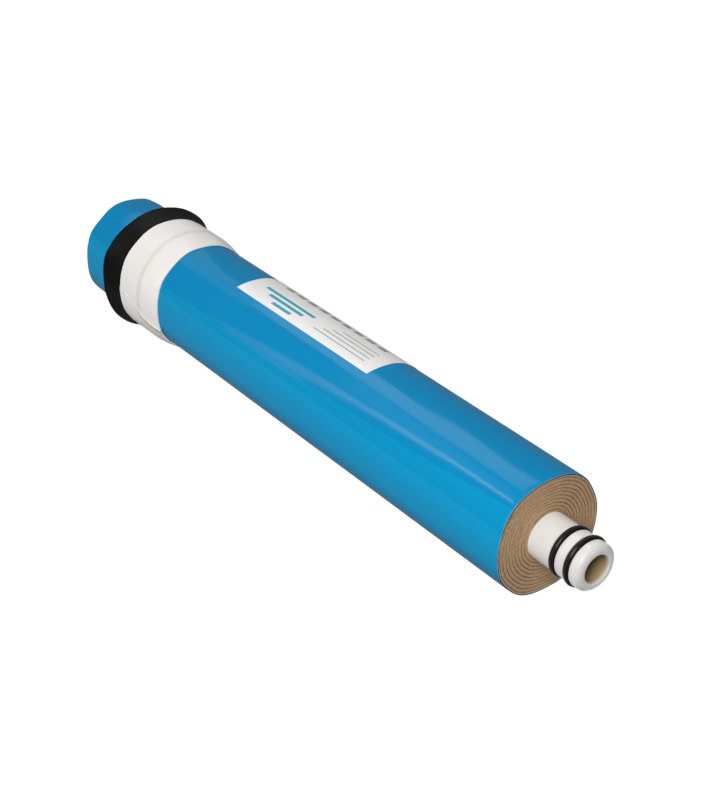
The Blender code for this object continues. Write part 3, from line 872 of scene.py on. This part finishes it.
def sheet_z(sizes, point, row):
    """Heights of a sheet's rows: two near each cut edge and one between."""
    if row in (0, SHEET_ROWS):
        return ragged_z(sizes, point, row > 0)
    near, far = ROWS_BELOW_EDGE
    return (0.0, near, far, ROLL_TOP - far, ROLL_TOP - near)[row]


def laid_sheet(name, sizes, path, thickness):
    """A sheet on edge along a path of points at z 0, ragged at both ends."""
    def place(column, row):
        point = path[column]
        z = sheet_z(sizes, Vector((point.x, point.y, 0.3 * (row > 0))), row)
        return Vector((point.x, point.y, z))

    sheet = laid_grid(name, len(path) - 1, SHEET_ROWS, place)
    wall(sheet, thickness, 0.0)
    face_outward()
    return sheet


class MESH_OT_wound_sheets(Operator):
    """Wind the carrier, the folded membrane leaf and the core of the spacer"""
    bl_idname = "mesh.wound_sheets"
    bl_label = "Wound Sheets"

    def execute(self, context):
        sizes = context.scene.roll_sizes
        lower, spacer, upper, end = winding(sizes)
        steps = round(end * sizes.stations)
        fold = sizes.stations
        turns = [step / sizes.stations for step in range(steps + 1)]
        half = sizes.membrane / 2

        # Glue soaks the carrier and fills most of the air on both sides of it
        glued = sizes.carrier + 1.6 * sizes.gap
        path = [on_winding(sizes, turn, sizes.carrier / 2, 0.0) for turn in turns]
        carrier = laid_sheet("carrier_sheet", sizes, path, glued)
        settle(context, carrier)
        finish_piece(carrier, ["permeate_carrier"], "carrier_knit",
                     material_of("glued_knit_carrier", context))

        inward = [on_winding(sizes, turn, lower + half, 0.0) for turn in reversed(turns[fold:])]
        outward = [on_winding(sizes, turn, upper + half, 0.0) for turn in turns[fold:]]
        middle = (inward[-1] + outward[0]) / 2
        reach = (outward[0] - inward[-1]) / 2
        back = Vector((reach.y, -reach.x, 0.0))
        fold_steps = 12
        bend_turns = [math.pi * step / fold_steps for step in range(1, fold_steps)]
        bend = [middle - reach * math.cos(turn) + back * math.sin(turn) for turn in bend_turns]
        leaf = laid_sheet("folded_leaf", sizes, inward + bend + outward, sizes.membrane + sizes.swell)
        settle(context, leaf)
        finish_piece(leaf, ["membrane_leaf"], "membrane_sheet", material_of("tan_membrane", context))

        path = [on_winding(sizes, turn, spacer + sizes.spacer / 2, 0.0) for turn in turns[fold:]]
        low, high = sizes.net_depth, ROLL_TOP - sizes.net_depth
        core = laid_grid("spacer_core", len(path) - 1, 1,
                         lambda column, row: Vector((*path[column].xy, high if row else low)))
        core_share = 0.9
        wall(core, sizes.spacer * core_share, 0.0)
        settle(context, core)
        face_outward()
        # The core's near-black brown is painted shade between the sheets
        finish_piece(core, ["feed_spacer"], "spacer_net", material_of("deep_net", context))
        return {'FINISHED'}


class MESH_OT_spacer_net(Operator):
    """Set the net's cut strands between the leaf's plies at both end faces"""
    bl_idname = "mesh.spacer_net"
    bl_label = "Spacer Net"

    def execute(self, context):
        sizes = context.scene.roll_sizes
        spacer, end = winding(sizes)[1], winding(sizes)[3]
        start()
        bpy.ops.mesh.primitive_cylinder_add(vertices=6, radius=0.5, depth=1.0, location=(0, 0, 0.5))
        strand = bpy.context.object
        apply_place()
        corners = [vertex.co.copy() for vertex in strand.data.vertices]
        faces = [tuple(face.vertices) for face in strand.data.polygons]
        bpy.data.objects.remove(strand)

        # Strands lean and stand to either side by turns, and each is cut at its own depth
        lean_slope, side_shift, least_cut, cut_spread, out_share = 0.55, 0.05, 0.00006, 0.00020, 0.96
        lean_wobble, width_wobble, place_wobble = 0.3, 0.25, 0.15
        points, polygons = [], []
        turn = 1.0
        knot = 0
        while turn < end - 0.01:
            radius = carrier_radius(sizes, turn) + spacer + sizes.spacer / 2
            angle_here = turn_angle(sizes, turn)
            for top in (False, True):
                wobble = noise.noise(Vector((knot * 0.73, 3.1 * top, 0.5)))
                side = 1 if knot % 2 else -1
                lean = side * lean_slope * (1 + lean_wobble * wobble)
                sunk = 0.5 + 0.5 * noise.noise(Vector((knot * 1.37, 7.7 * top, 2.5)))
                cut = least_cut + cut_spread * sunk
                width = sizes.strand_width * (1 + width_wobble * wobble)
                middle = angle_here + wobble * place_wobble * sizes.strand_pitch / radius
                first = len(points)
                for corner in corners:
                    depth = cut + corner.z * (sizes.net_depth + sizes.strand_width)
                    swing = corner.x * width + lean * (depth - cut)
                    out = (corner.y * out_share + side * side_shift) * sizes.spacer
                    z = ROLL_TOP - depth if top else depth
                    points.append(at(radius + out, middle + swing / radius, z))
                polygons += [tuple(first + index for index in (face if not top else reversed(face)))
                             for face in faces]
            turn += sizes.strand_pitch / radius / FULL_TURN
            knot += 1
        mesh = bpy.data.meshes.new("spacer_strands")
        mesh.from_pydata(points, [], polygons)
        strands = bpy.data.objects.new("spacer_strands", mesh)
        settle(context, strands)
        context.scene.collection.objects.link(strands)
        start()
        context.view_layer.objects.active = strands
        strands.select_set(True)
        face_outward()
        finish_piece(strands, ["feed_spacer"], "spacer_net", material_of("spacer_net", context))
        return {'FINISHED'}


def core_wedge(context, node):
    """Glue in the wedge ahead of the leaf's fold, at one end of the roll."""
    sizes = context.scene.roll_sizes
    lower, _, upper, _ = winding(sizes)
    low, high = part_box(node)
    top = node.endswith("outlet_end")
    begin, fold_share, columns, rows = 0.22, 0.62, 90, 8
    reach = (upper + sizes.membrane - lower) / carrier_radius(sizes, 1.0) / FULL_TURN

    def section(column, side):
        turn = begin + (1.0 - fold_share * reach - begin) * column / columns
        under = carrier_radius(sizes, turn) + lower
        over = carrier_radius(sizes, turn + 1.0) - sizes.gap
        return at(under + (over - under) * side, turn_angle(sizes, turn), 0.0)

    def place(column, row):
        point = section(column, 0.5)
        cut = row == (rows if top else 0)
        z = ragged_z(sizes, point, top) if cut else low.z + (high.z - low.z) * row / rows
        return Vector((point.x, point.y, z))

    bead = laid_grid(f"{node}_bead", columns, rows, place)
    thickness = [(section(column, 1.0) - section(column, 0.0)).length for column in range(columns + 1)]
    widest = max(thickness)
    group = bead.vertex_groups.new(name="wedge")
    for vertex in bead.data.vertices:
        group.add([vertex.index], thickness[vertex.index % (columns + 1)] / widest, 'REPLACE')
    modifier = bead.modifiers.new("wall", 'SOLIDIFY')
    modifier.thickness = widest
    modifier.offset = 0.0
    modifier.vertex_group = "wedge"
    modifier.thickness_vertex_group = 0.02
    apply(bead, modifier)
    face_outward()
    settle(context, bead)
    return bead


def edge_bead(context):
    """Glue along the leaf's outer edge, under the film."""
    sizes, film = context.scene.roll_sizes, context.scene.film_sizes
    end = winding(sizes)[3]
    columns, bead_span, bead_start, least = 24, math.radians(30.0), 0.004, 0.00003
    corners = ((0.0, 0.0), (0.0, 1.0), (1.0, 1.0), (1.0, 0.0))

    def place(column, row):
        side, high = corners[row % 4]
        spread = bead_span * column / columns + bead_start
        turn, around, z = end - 1.0 + spread / FULL_TURN, sizes.leaf_end + spread, ROLL_TOP * high
        under = carrier_radius(sizes, turn) + stack_height(sizes, turn) + roll_rise(context, around, z)
        over = film_radius(film, around, z, lap=0.0) - film.wall - sizes.gap
        point = at(under + max(over - under, least) * side, around, high)
        return Vector((point.x, point.y, ragged_z(sizes, point, bool(high))))

    bead = laid_grid("leaf_edge_bead", columns, 4, place)
    edit_all((bpy.ops.mesh.remove_doubles, {"threshold": WELD}),
             (bpy.ops.mesh.fill_holes, {"sides": 4}),
             (bpy.ops.mesh.normals_make_consistent, {"inside": False}))
    return bead


class MESH_OT_glue_lines(Operator):
    """Model the cured glue at the leaf's outer edge and in the wedge at its fold"""
    bl_idname = "mesh.glue_lines"
    bl_label = "Glue Lines"

    def execute(self, context):
        glue = material_of("amber_glue", context)
        for node in ("core_glue_feed_end", "core_glue_outlet_end"):
            finish_piece(core_wedge(context, node), [node], "glue", glue)
        finish_piece(edge_bead(context), ["leaf_edge_glue"], "glue", glue)
        return {'FINISHED'}


# The film round the roll and the label on it

def lap_share(sizes, turn):
    """How much of the film's end step lies at this angle: 1 just before the seam."""
    return ((turn - sizes.seam) % FULL_TURN) / FULL_TURN


def round_curve(corners, steps=720):
    """Radii at even steps on a smooth closed curve through (angle, radius) corners."""
    table = []
    for step in range(steps):
        turn = FULL_TURN * step / steps
        after = next((index for index, corner in enumerate(corners) if corner[0] > turn), 0)
        near = [corners[(after + shift) % len(corners)] for shift in (-2, -1, 0, 1)]
        places = [turn + math.remainder(corner - turn, FULL_TURN) for corner, _ in near]
        radii = [radius for _, radius in near]
        span = places[2] - places[1]
        share = (turn - places[1]) / span
        slopes = [(radii[index + 1] - radii[index - 1]) / (places[index + 1] - places[index - 1]) * span
                  for index in (1, 2)]
        square, cube = share ** 2, share ** 3
        table.append((2 * cube - 3 * square + 1) * radii[1] + (cube - 2 * square + share) * slopes[0]
                     + (3 * square - 2 * cube) * radii[2] + (cube - square) * slopes[1])
    return table


def read_round(table, turn):
    """Reads a table of values at even steps of a turn, straight from one to the next."""
    place = turn / FULL_TURN * len(table)
    low = math.floor(place)
    share = place - low
    return table[low % len(table)] * (1 - share) + table[(low + 1) % len(table)] * share


# Filled at first use, because every piece over the film asks for them
END_CURVES = {}


def end_curves(sizes):
    """The film's outlines at the feed end and at the spigot end, without the end step."""
    if not END_CURVES:
        seam_side = math.radians(1.0)
        kept = [(corner, radius - sizes.end_step * lap_share(sizes, corner))
                for corner, radius in FILM_CORNERS
                if abs(math.remainder(corner - sizes.seam, FULL_TURN)) > seam_side]
        for end, rises in (("feed", FEED_END_RISES), ("spigot", SPIGOT_END_RISES)):
            END_CURVES[end] = round_curve([(corner, radius + read_round(rises, corner) * MM / 100)
                                           for corner, radius in kept])
    return END_CURVES["feed"], END_CURVES["spigot"]


def film_radius(sizes, turn, z, lap=None):
    """The film's outer radius: from one end's outline to the other's, and the end step."""
    feed, spigot = end_curves(sizes)
    share = z / ROLL_TOP
    curve = read_round(feed, turn) * (1 - share) + read_round(spigot, turn) * share
    return curve + sizes.end_step * (lap_share(sizes, turn) if lap is None else lap)


def ripple(sizes, turn, z):
    """Soft hollows and swellings of a film that was wound by hand."""
    long_wave = noise.noise(Vector((3 * math.cos(turn), 3 * math.sin(turn), z * 18)))
    short_wave = noise.noise(Vector((9 * math.cos(turn), 9 * math.sin(turn), z * 45 + 5)))
    return sizes.ripple * (0.7 * long_wave + 0.3 * short_wave)


def seamed_turns(seam, steps, hair):
    """Angles all the way round, with two close together at a seam."""
    turns = [seam + FULL_TURN * (step + 0.5) / steps for step in range(steps)]
    return [seam + hair] + turns + [seam + FULL_TURN - hair]


def film_levels():
    """Heights up the film, close together at the rims."""
    edge = [0.0, 0.00012, 0.0003, 0.0006, 0.001, 0.0015, 0.0022, 0.003, 0.0042, 0.006]
    middle_steps = 48
    first, last = edge[-1], ROLL_TOP - edge[-1]
    middle = [first + (last - first) * step / middle_steps for step in range(1, middle_steps)]
    return edge + middle + [ROLL_TOP - z for z in reversed(edge)]


def rim_inset(sizes, z):
    """The film's rims turn in with a soft round."""
    from_end = min(z, ROLL_TOP - z)
    return sizes.turn_in * (1 - min(from_end / sizes.turn_in_length, 1.0)) ** 2


class MESH_OT_outer_film(Operator):
    """Wrap the blue film round the roll, with its seam and its turned-in rims"""
    bl_idname = "mesh.outer_film"
    bl_label = "Outer Film"

    def execute(self, context):
        sizes = context.scene.film_sizes
        levels = film_levels()

        def section(turn):
            outside = [(film_radius(sizes, turn, z) - rim_inset(sizes, z) + ripple(sizes, turn, z), z)
                       for z in levels]
            low, high = [film_radius(sizes, turn, z, lap=0.0) - sizes.wall for z in (0.0, ROLL_TOP)]
            middle_low = low + (outside[0][0] - low) * sizes.glue_share
            middle_high = high + (outside[-1][0] - high) * sizes.glue_share
            return [(low, 0.0), (middle_low, 0.0)] + outside + [(middle_high, ROLL_TOP), (high, ROLL_TOP)]

        film = lofted_ring("blue_film", seamed_turns(sizes.seam, sizes.steps, math.radians(0.04)), section)
        finish_piece(film, ["outer_film"], "blue_film", gloss_vinyl_film(context.scene.finishes, sizes),
                     material_of("film_cut_edge", context), material_of("film_adhesive", context),
                     sharp_degrees=50)
        for face in film.data.polygons:
            # End faces: the outer share takes the cut edge painted dark as shade, the inner share the
            # adhesive
            if abs(face.normal.z) > 0.9:
                reach = face.center.xy.length
                turn = math.atan2(face.center.y, face.center.x)
                inner = film_radius(sizes, turn, face.center.z, lap=0.0) - sizes.wall
                glued = sizes.glue_share * (sizes.wall - sizes.turn_in)
                face.material_index = 1 if reach - inner > glued else 2
            # Inner faces take the adhesive; the spigot rim's last stretch takes its pale grey as a painted
            # highlight
            elif face.normal.xy.dot(face.center.xy) < 0 or face.center.z > ROLL_TOP - sizes.worn_rim:
                face.material_index = 2
        return {'FINISHED'}


class MESH_OT_label(Operator):
    """Lay the printed label on the film"""
    bl_idname = "mesh.element_label"
    bl_label = "Label"

    def execute(self, context):
        sizes = context.scene.film_sizes
        columns, rows = 120, 60
        spread = sizes.label_width / FILM_LARGEST
        low, high = LABEL_Z, LABEL_TOP

        def place(column, row):
            turn = sizes.label_edge - spread + spread * column / columns
            z = low + (high - low) * row / rows
            seat = film_radius(sizes, turn, z) + ripple(sizes, turn, z)
            return at(seat + sizes.label_gap, turn, z)

        label = laid_grid("printed_label", columns, rows, place)
        wall(label, sizes.label_wall, 1.0)
        finish_piece(label, ["label"], "label_film",
                     printed_label(context.scene.finishes, high - low, sizes.label_width), sharp_degrees=40)
        return {'FINISHED'}


# The brine seal and the tape over its foot

def seal_seat(context, turn, z):
    """The stretched rubber hugs the film and bridges part of its hollows."""
    sizes, film = context.scene.seal_sizes, context.scene.film_sizes
    here = film_radius(film, turn, z)
    return here + sizes.clearance + (1 - sizes.hug) * (FILM_LARGEST - here)


def foot_height(sizes, from_start):
    """Thickness of the foot at a distance from the seal's root."""
    share = clamped((from_start - sizes.foot_length + sizes.tail_length) / sizes.tail_length)
    return sizes.tail + (sizes.foot - sizes.tail) * math.cos(share * math.pi / 2)


KINK_DEGREES = 5.0
FLARE_BEND = 1.25


def lip_radius(sizes, curve, turn):
    """The lip's edge follows the solid's waves and stands out at one kink."""
    away = math.degrees(math.remainder(turn - sizes.lip_kink_angle, FULL_TURN))
    kink = sizes.lip_kink * math.exp(-(away / KINK_DEGREES) ** 2)
    return read_round(curve, turn) - sizes.lip_trim + kink


class MESH_OT_brine_seal(Operator):
    """Model the rubber seal with its foot and its wavy flared lip"""
    bl_idname = "mesh.brine_seal"
    bl_label = "Brine Seal"

    def execute(self, context):
        sizes = context.scene.seal_sizes
        start_z = TAPE_Z
        lip_curve = round_curve(LIP_CORNERS)

        def section(turn):
            seat = seal_seat(context, turn, start_z)
            foot = seat + sizes.foot
            tip_r = lip_radius(sizes, lip_curve, turn)
            tail_steps, lip_steps, hidden_steps = 10, 14, 3
            points = [(seat, start_z - sizes.lip_set_back), (seat, start_z + sizes.foot_length)]
            for step in range(tail_steps + 1):
                along = sizes.foot_length - sizes.tail_length * step / tail_steps
                points.append((seat + foot_height(sizes, along), start_z + along))
            points.append((foot, start_z + 0.5 * MM))
            outer, inner = [], []
            for step in range(lip_steps + 1):
                share = step / lip_steps
                radius = foot + (tip_r - foot) * share ** FLARE_BEND
                z = start_z - sizes.lip_length * share
                thickness = sizes.lip_root + (sizes.lip_tip - sizes.lip_root) * share
                outer.append((radius, z))
                inner.append((max(radius - thickness, seat + 0.2 * MM), z + thickness * 0.35))
            tip_z = start_z - sizes.lip_length
            bead = [(tip_r - sizes.lip_tip * share, tip_z - 0.1 * MM) for share in (0.12, 0.5)]
            outer[-1] = (tip_r, tip_z + 0.15 * MM)
            return points + outer + bead + inner[::-1][:-hidden_steps]

        steps = 240
        turns = [FULL_TURN * step / steps for step in range(steps)]
        seal = lofted_ring("rubber_brine_seal", turns, section)
        finish_piece(seal, ["brine_seal"], "seal_rubber", material_of("moulded_epdm", context),
                     sharp_degrees=45)
        return {'FINISHED'}


class MESH_OT_seal_tape(Operator):
    """Wind the white tape over the seal's foot, with its crease and its slanting end"""
    bl_idname = "mesh.seal_tape"
    bl_label = "Seal Tape"

    def execute(self, context):
        sizes, film = context.scene.seal_sizes, context.scene.film_sizes
        low, high = TAPE_Z, TAPE_TOP
        landing = high - 0.6 * MM
        levels, inner_levels, steps = 72, 12, 300
        pucker_z, pucker_reach, pucker_degrees = low + 24 * MM, 8 * MM, 2.4
        wrinkle = 0.05 * MM

        def under(turn, z):
            top = seal_seat(context, turn, low) + sizes.clearance + sizes.foot
            on_film = film_radius(film, turn, z) + sizes.clearance
            along = (z - low - sizes.crease_at) / (landing - low - sizes.crease_at)
            drop = 1 - math.cos(clamped(along) ** 1.2 * math.pi / 2)
            return top + (on_film - top) * drop

        def section(turn):
            past = (turn - sizes.lap_angle) % FULL_TURN
            from_lap = math.degrees(math.remainder(past, FULL_TURN)) / pucker_degrees - 0.4
            outside = []
            for level in range(levels + 1):
                z = low + (high - low) * level / levels
                slant = sizes.lap_slant * (z - low)
                here = turn + slant
                away = (z - low - sizes.crease_at) / sizes.crease_spread
                from_pucker = (z - pucker_z) / pucker_reach
                radius = (under(here, z) + sizes.tape - sizes.crease_depth * math.exp(-away * away)
                          + sizes.lap * (1 - past / FULL_TURN)
                          + sizes.pucker * math.exp(-from_lap ** 2 - from_pucker ** 2)
                          + wrinkle * noise.noise(Vector((6 * math.cos(here), 6 * math.sin(here), z * 120))))
                outside.append((radius, z, slant))
            inside = []
            for level in range(inner_levels, -1, -1):
                z = low + (high - low) * level / inner_levels
                slant = sizes.lap_slant * (z - low)
                inside.append((under(turn + slant, z), z, slant))
            return outside + inside

        hair = math.radians(0.05)
        turns = seamed_turns(sizes.lap_angle, steps, hair)
        tape = lofted_ring("white_tape", turns, section)
        finish_piece(tape, ["seal_tape"], "white_tape", white_vinyl_tape(context.scene.finishes, sizes),
                     material_of("dusty_tape_edge", context), sharp_degrees=50)
        # The faces of the tape's end step take the darker edge: dust and painted shade
        for face in tape.data.polygons:
            along = sizes.lap_slant * (face.center.z - low)
            turn = math.atan2(face.center.y, face.center.x)
            from_lap = math.remainder(turn - sizes.lap_angle - along, FULL_TURN)
            if abs(from_lap) < hair and face.normal.xy.length > 0.5:
                face.material_index = 1
        return {'FINISHED'}


# Stage

def area_light(name, power, size, place, aim, colour=(1.0, 1.0, 1.0)):
    """A rectangular light at a place, facing a point; the camera doesn't see it."""
    width, height = size
    bpy.ops.object.light_add(type='AREA', location=place)
    lamp = bpy.context.object
    lamp.name = name
    lamp.data.shape = 'RECTANGLE'
    lamp.data.size = width
    lamp.data.size_y = height
    lamp.data.energy = power
    lamp.data.color = colour
    lamp.rotation_euler = (Vector(aim) - Vector(place)).to_track_quat('-Z', 'Y').to_euler()
    lamp.visible_camera = False
    return lamp


# Strips of light on the floor: heading in degrees, from and to along it, left and right of it, radiance
FLOOR_STRIPS = (
    (52.0, 0.030, 0.120, -0.022, 0.045, 2.0),
    (52.0, 0.120, 0.170, -0.002, 0.080, 6.0),
    (52.0, 0.170, 0.220, 0.006, 0.125, 6.3),
    (52.0, 0.220, 0.300, 0.012, 0.200, 6.0),
    (52.0, 0.300, 0.385, 0.030, 0.250, 5.8),
    (60.7, 0.200, 0.385, -0.060, 0.040, 2.0),
    (60.7, 0.060, 0.100, -0.150, -0.085, 3.2),
    (60.7, 0.100, 0.160, -0.135, -0.085, 5.0),
    (60.7, 0.160, 0.220, -0.125, -0.083, 8.0),
    (60.7, 0.220, 0.270, -0.117, -0.075, 12.5),
    (60.7, 0.270, 0.350, -0.102, -0.066, 16.0),
    (60.7, 0.350, 0.385, -0.110, -0.072, 20.0),
)


# The camera's place, and which way its right, its top and its back point, fitted to the photograph
CAMERA_PLACE = (0.000734, 0.459876, 0.597494)
CAMERA_AXES = ((0.56805, -0.56385, 0.59948), (0.82298, 0.38919, -0.41378), (0.0, 0.72841, 0.68513))


def floor_strip(heading, span, sides, radiance):
    """A strip of light on the floor, seen only in reflections; sides are distances right of its heading."""
    (near, far), (left, right) = span, sides
    middle = at((near + far) / 2, heading, 0.002) + at((left + right) / 2, heading - FULL_TURN / 4, 0.0)
    size = (far - near, right - left)
    strip = area_light("floor_strip", radiance * math.pi * size[0] * size[1], size, middle,
                       middle + Vector((0, 0, 1)))
    strip.rotation_euler = (math.pi, 0, heading)
    strip.visible_diffuse = False


class SCENE_OT_pale_stage(Operator):
    """Set the pale floor, the soft lights and the camera"""
    bl_idname = "scene.pale_stage"
    bl_label = "Pale Stage"

    def execute(self, context):
        scene, stage, colours = context.scene, context.scene.stage_settings, context.scene.finishes
        start()
        bpy.ops.mesh.primitive_plane_add(size=stage.floor_size, location=(0, 0, 0))
        floor = bpy.context.object
        floor.name = "floor"
        floor.data.materials.append(pale_floor(colours))

        world = bpy.data.worlds.new("white_room")
        world.use_nodes = True
        background = world.node_tree.nodes["Background"]
        background.inputs["Color"].default_value = (1.0, 1.0, 1.0, 1.0)
        background.inputs["Strength"].default_value = stage.sky
        scene.world = world

        aim = (0.0, 0.0, ROLL_TOP * 0.6)
        away = 1.3
        key = at(away * math.cos(stage.key_rise), stage.key_azimuth, aim[2] + away * math.sin(stage.key_rise))
        area_light("key_light", stage.key_power, (0.8, 0.6), key, aim, (1.0, 0.99, 0.98))
        back = at(1.4, stage.back_azimuth, 0.32)
        area_light("back_light", stage.fill_power, (0.9, 0.9), back, aim)
        for heading, near, far, left, right, radiance in FLOOR_STRIPS:
            floor_strip(math.radians(heading), (near, far), (left, right), radiance)

        camera = bpy.data.cameras.new("camera")
        camera.lens = stage.camera_lens
        camera.sensor_width = 36.0
        camera.sensor_fit = 'AUTO'
        camera.clip_end = 50.0
        shot = bpy.data.objects.new("camera", camera)
        scene.collection.objects.link(shot)
        shot.matrix_world = Matrix.Translation(CAMERA_PLACE) @ Matrix(CAMERA_AXES).transposed().to_4x4()
        scene.camera = shot
        scene.view_settings.view_transform = 'Standard'
        return {'FINISHED'}


class VIEW3D_PT_membrane_element(Panel):
    """Sizes, colours and steps of the membrane element"""
    bl_label = "Membrane Element"
    bl_space_type = 'VIEW_3D'
    bl_region_type = 'UI'
    bl_category = "Membrane"

    def draw(self, context):
        layout = self.layout
        for group in SETTINGS:
            settings = getattr(context.scene, group)
            box = layout.box()
            box.label(text=group.replace("_", " ").title())
            for name in settings.bl_rna.properties.keys():
                if name not in ("rna_type", "name"):
                    box.prop(settings, name)
        for piece in PIECES:
            layout.operator(piece.bl_idname)


SETTINGS = {
    "roll_sizes": RollSizes,
    "spigot_sizes": SpigotSizes,
    "film_sizes": FilmSizes,
    "seal_sizes": SealSizes,
    "finishes": Finishes,
    "stage_settings": StageSettings,
}

PIECES = (
    MESH_OT_permeate_tube,
    MESH_OT_tube_plug,
    MESH_OT_o_rings,
    MESH_OT_wound_sheets,
    MESH_OT_spacer_net,
    MESH_OT_glue_lines,
    MESH_OT_outer_film,
    MESH_OT_label,
    MESH_OT_brine_seal,
    MESH_OT_seal_tape,
    SCENE_OT_pale_stage,
)


def register():
    for cls in (*SETTINGS.values(), *PIECES, VIEW3D_PT_membrane_element):
        bpy.utils.register_class(cls)
    for name, group in SETTINGS.items():
        setattr(bpy.types.Scene, name, PointerProperty(type=group))


def unregister():
    for name in SETTINGS:
        delattr(bpy.types.Scene, name)
    for cls in reversed((*SETTINGS.values(), *PIECES, VIEW3D_PT_membrane_element)):
        bpy.utils.unregister_class(cls)


def main():
    register()
    for piece in PIECES:
        group, name = piece.bl_idname.split(".")
        getattr(getattr(bpy.ops, group), name)()


if __name__ == "__main__":
    main()
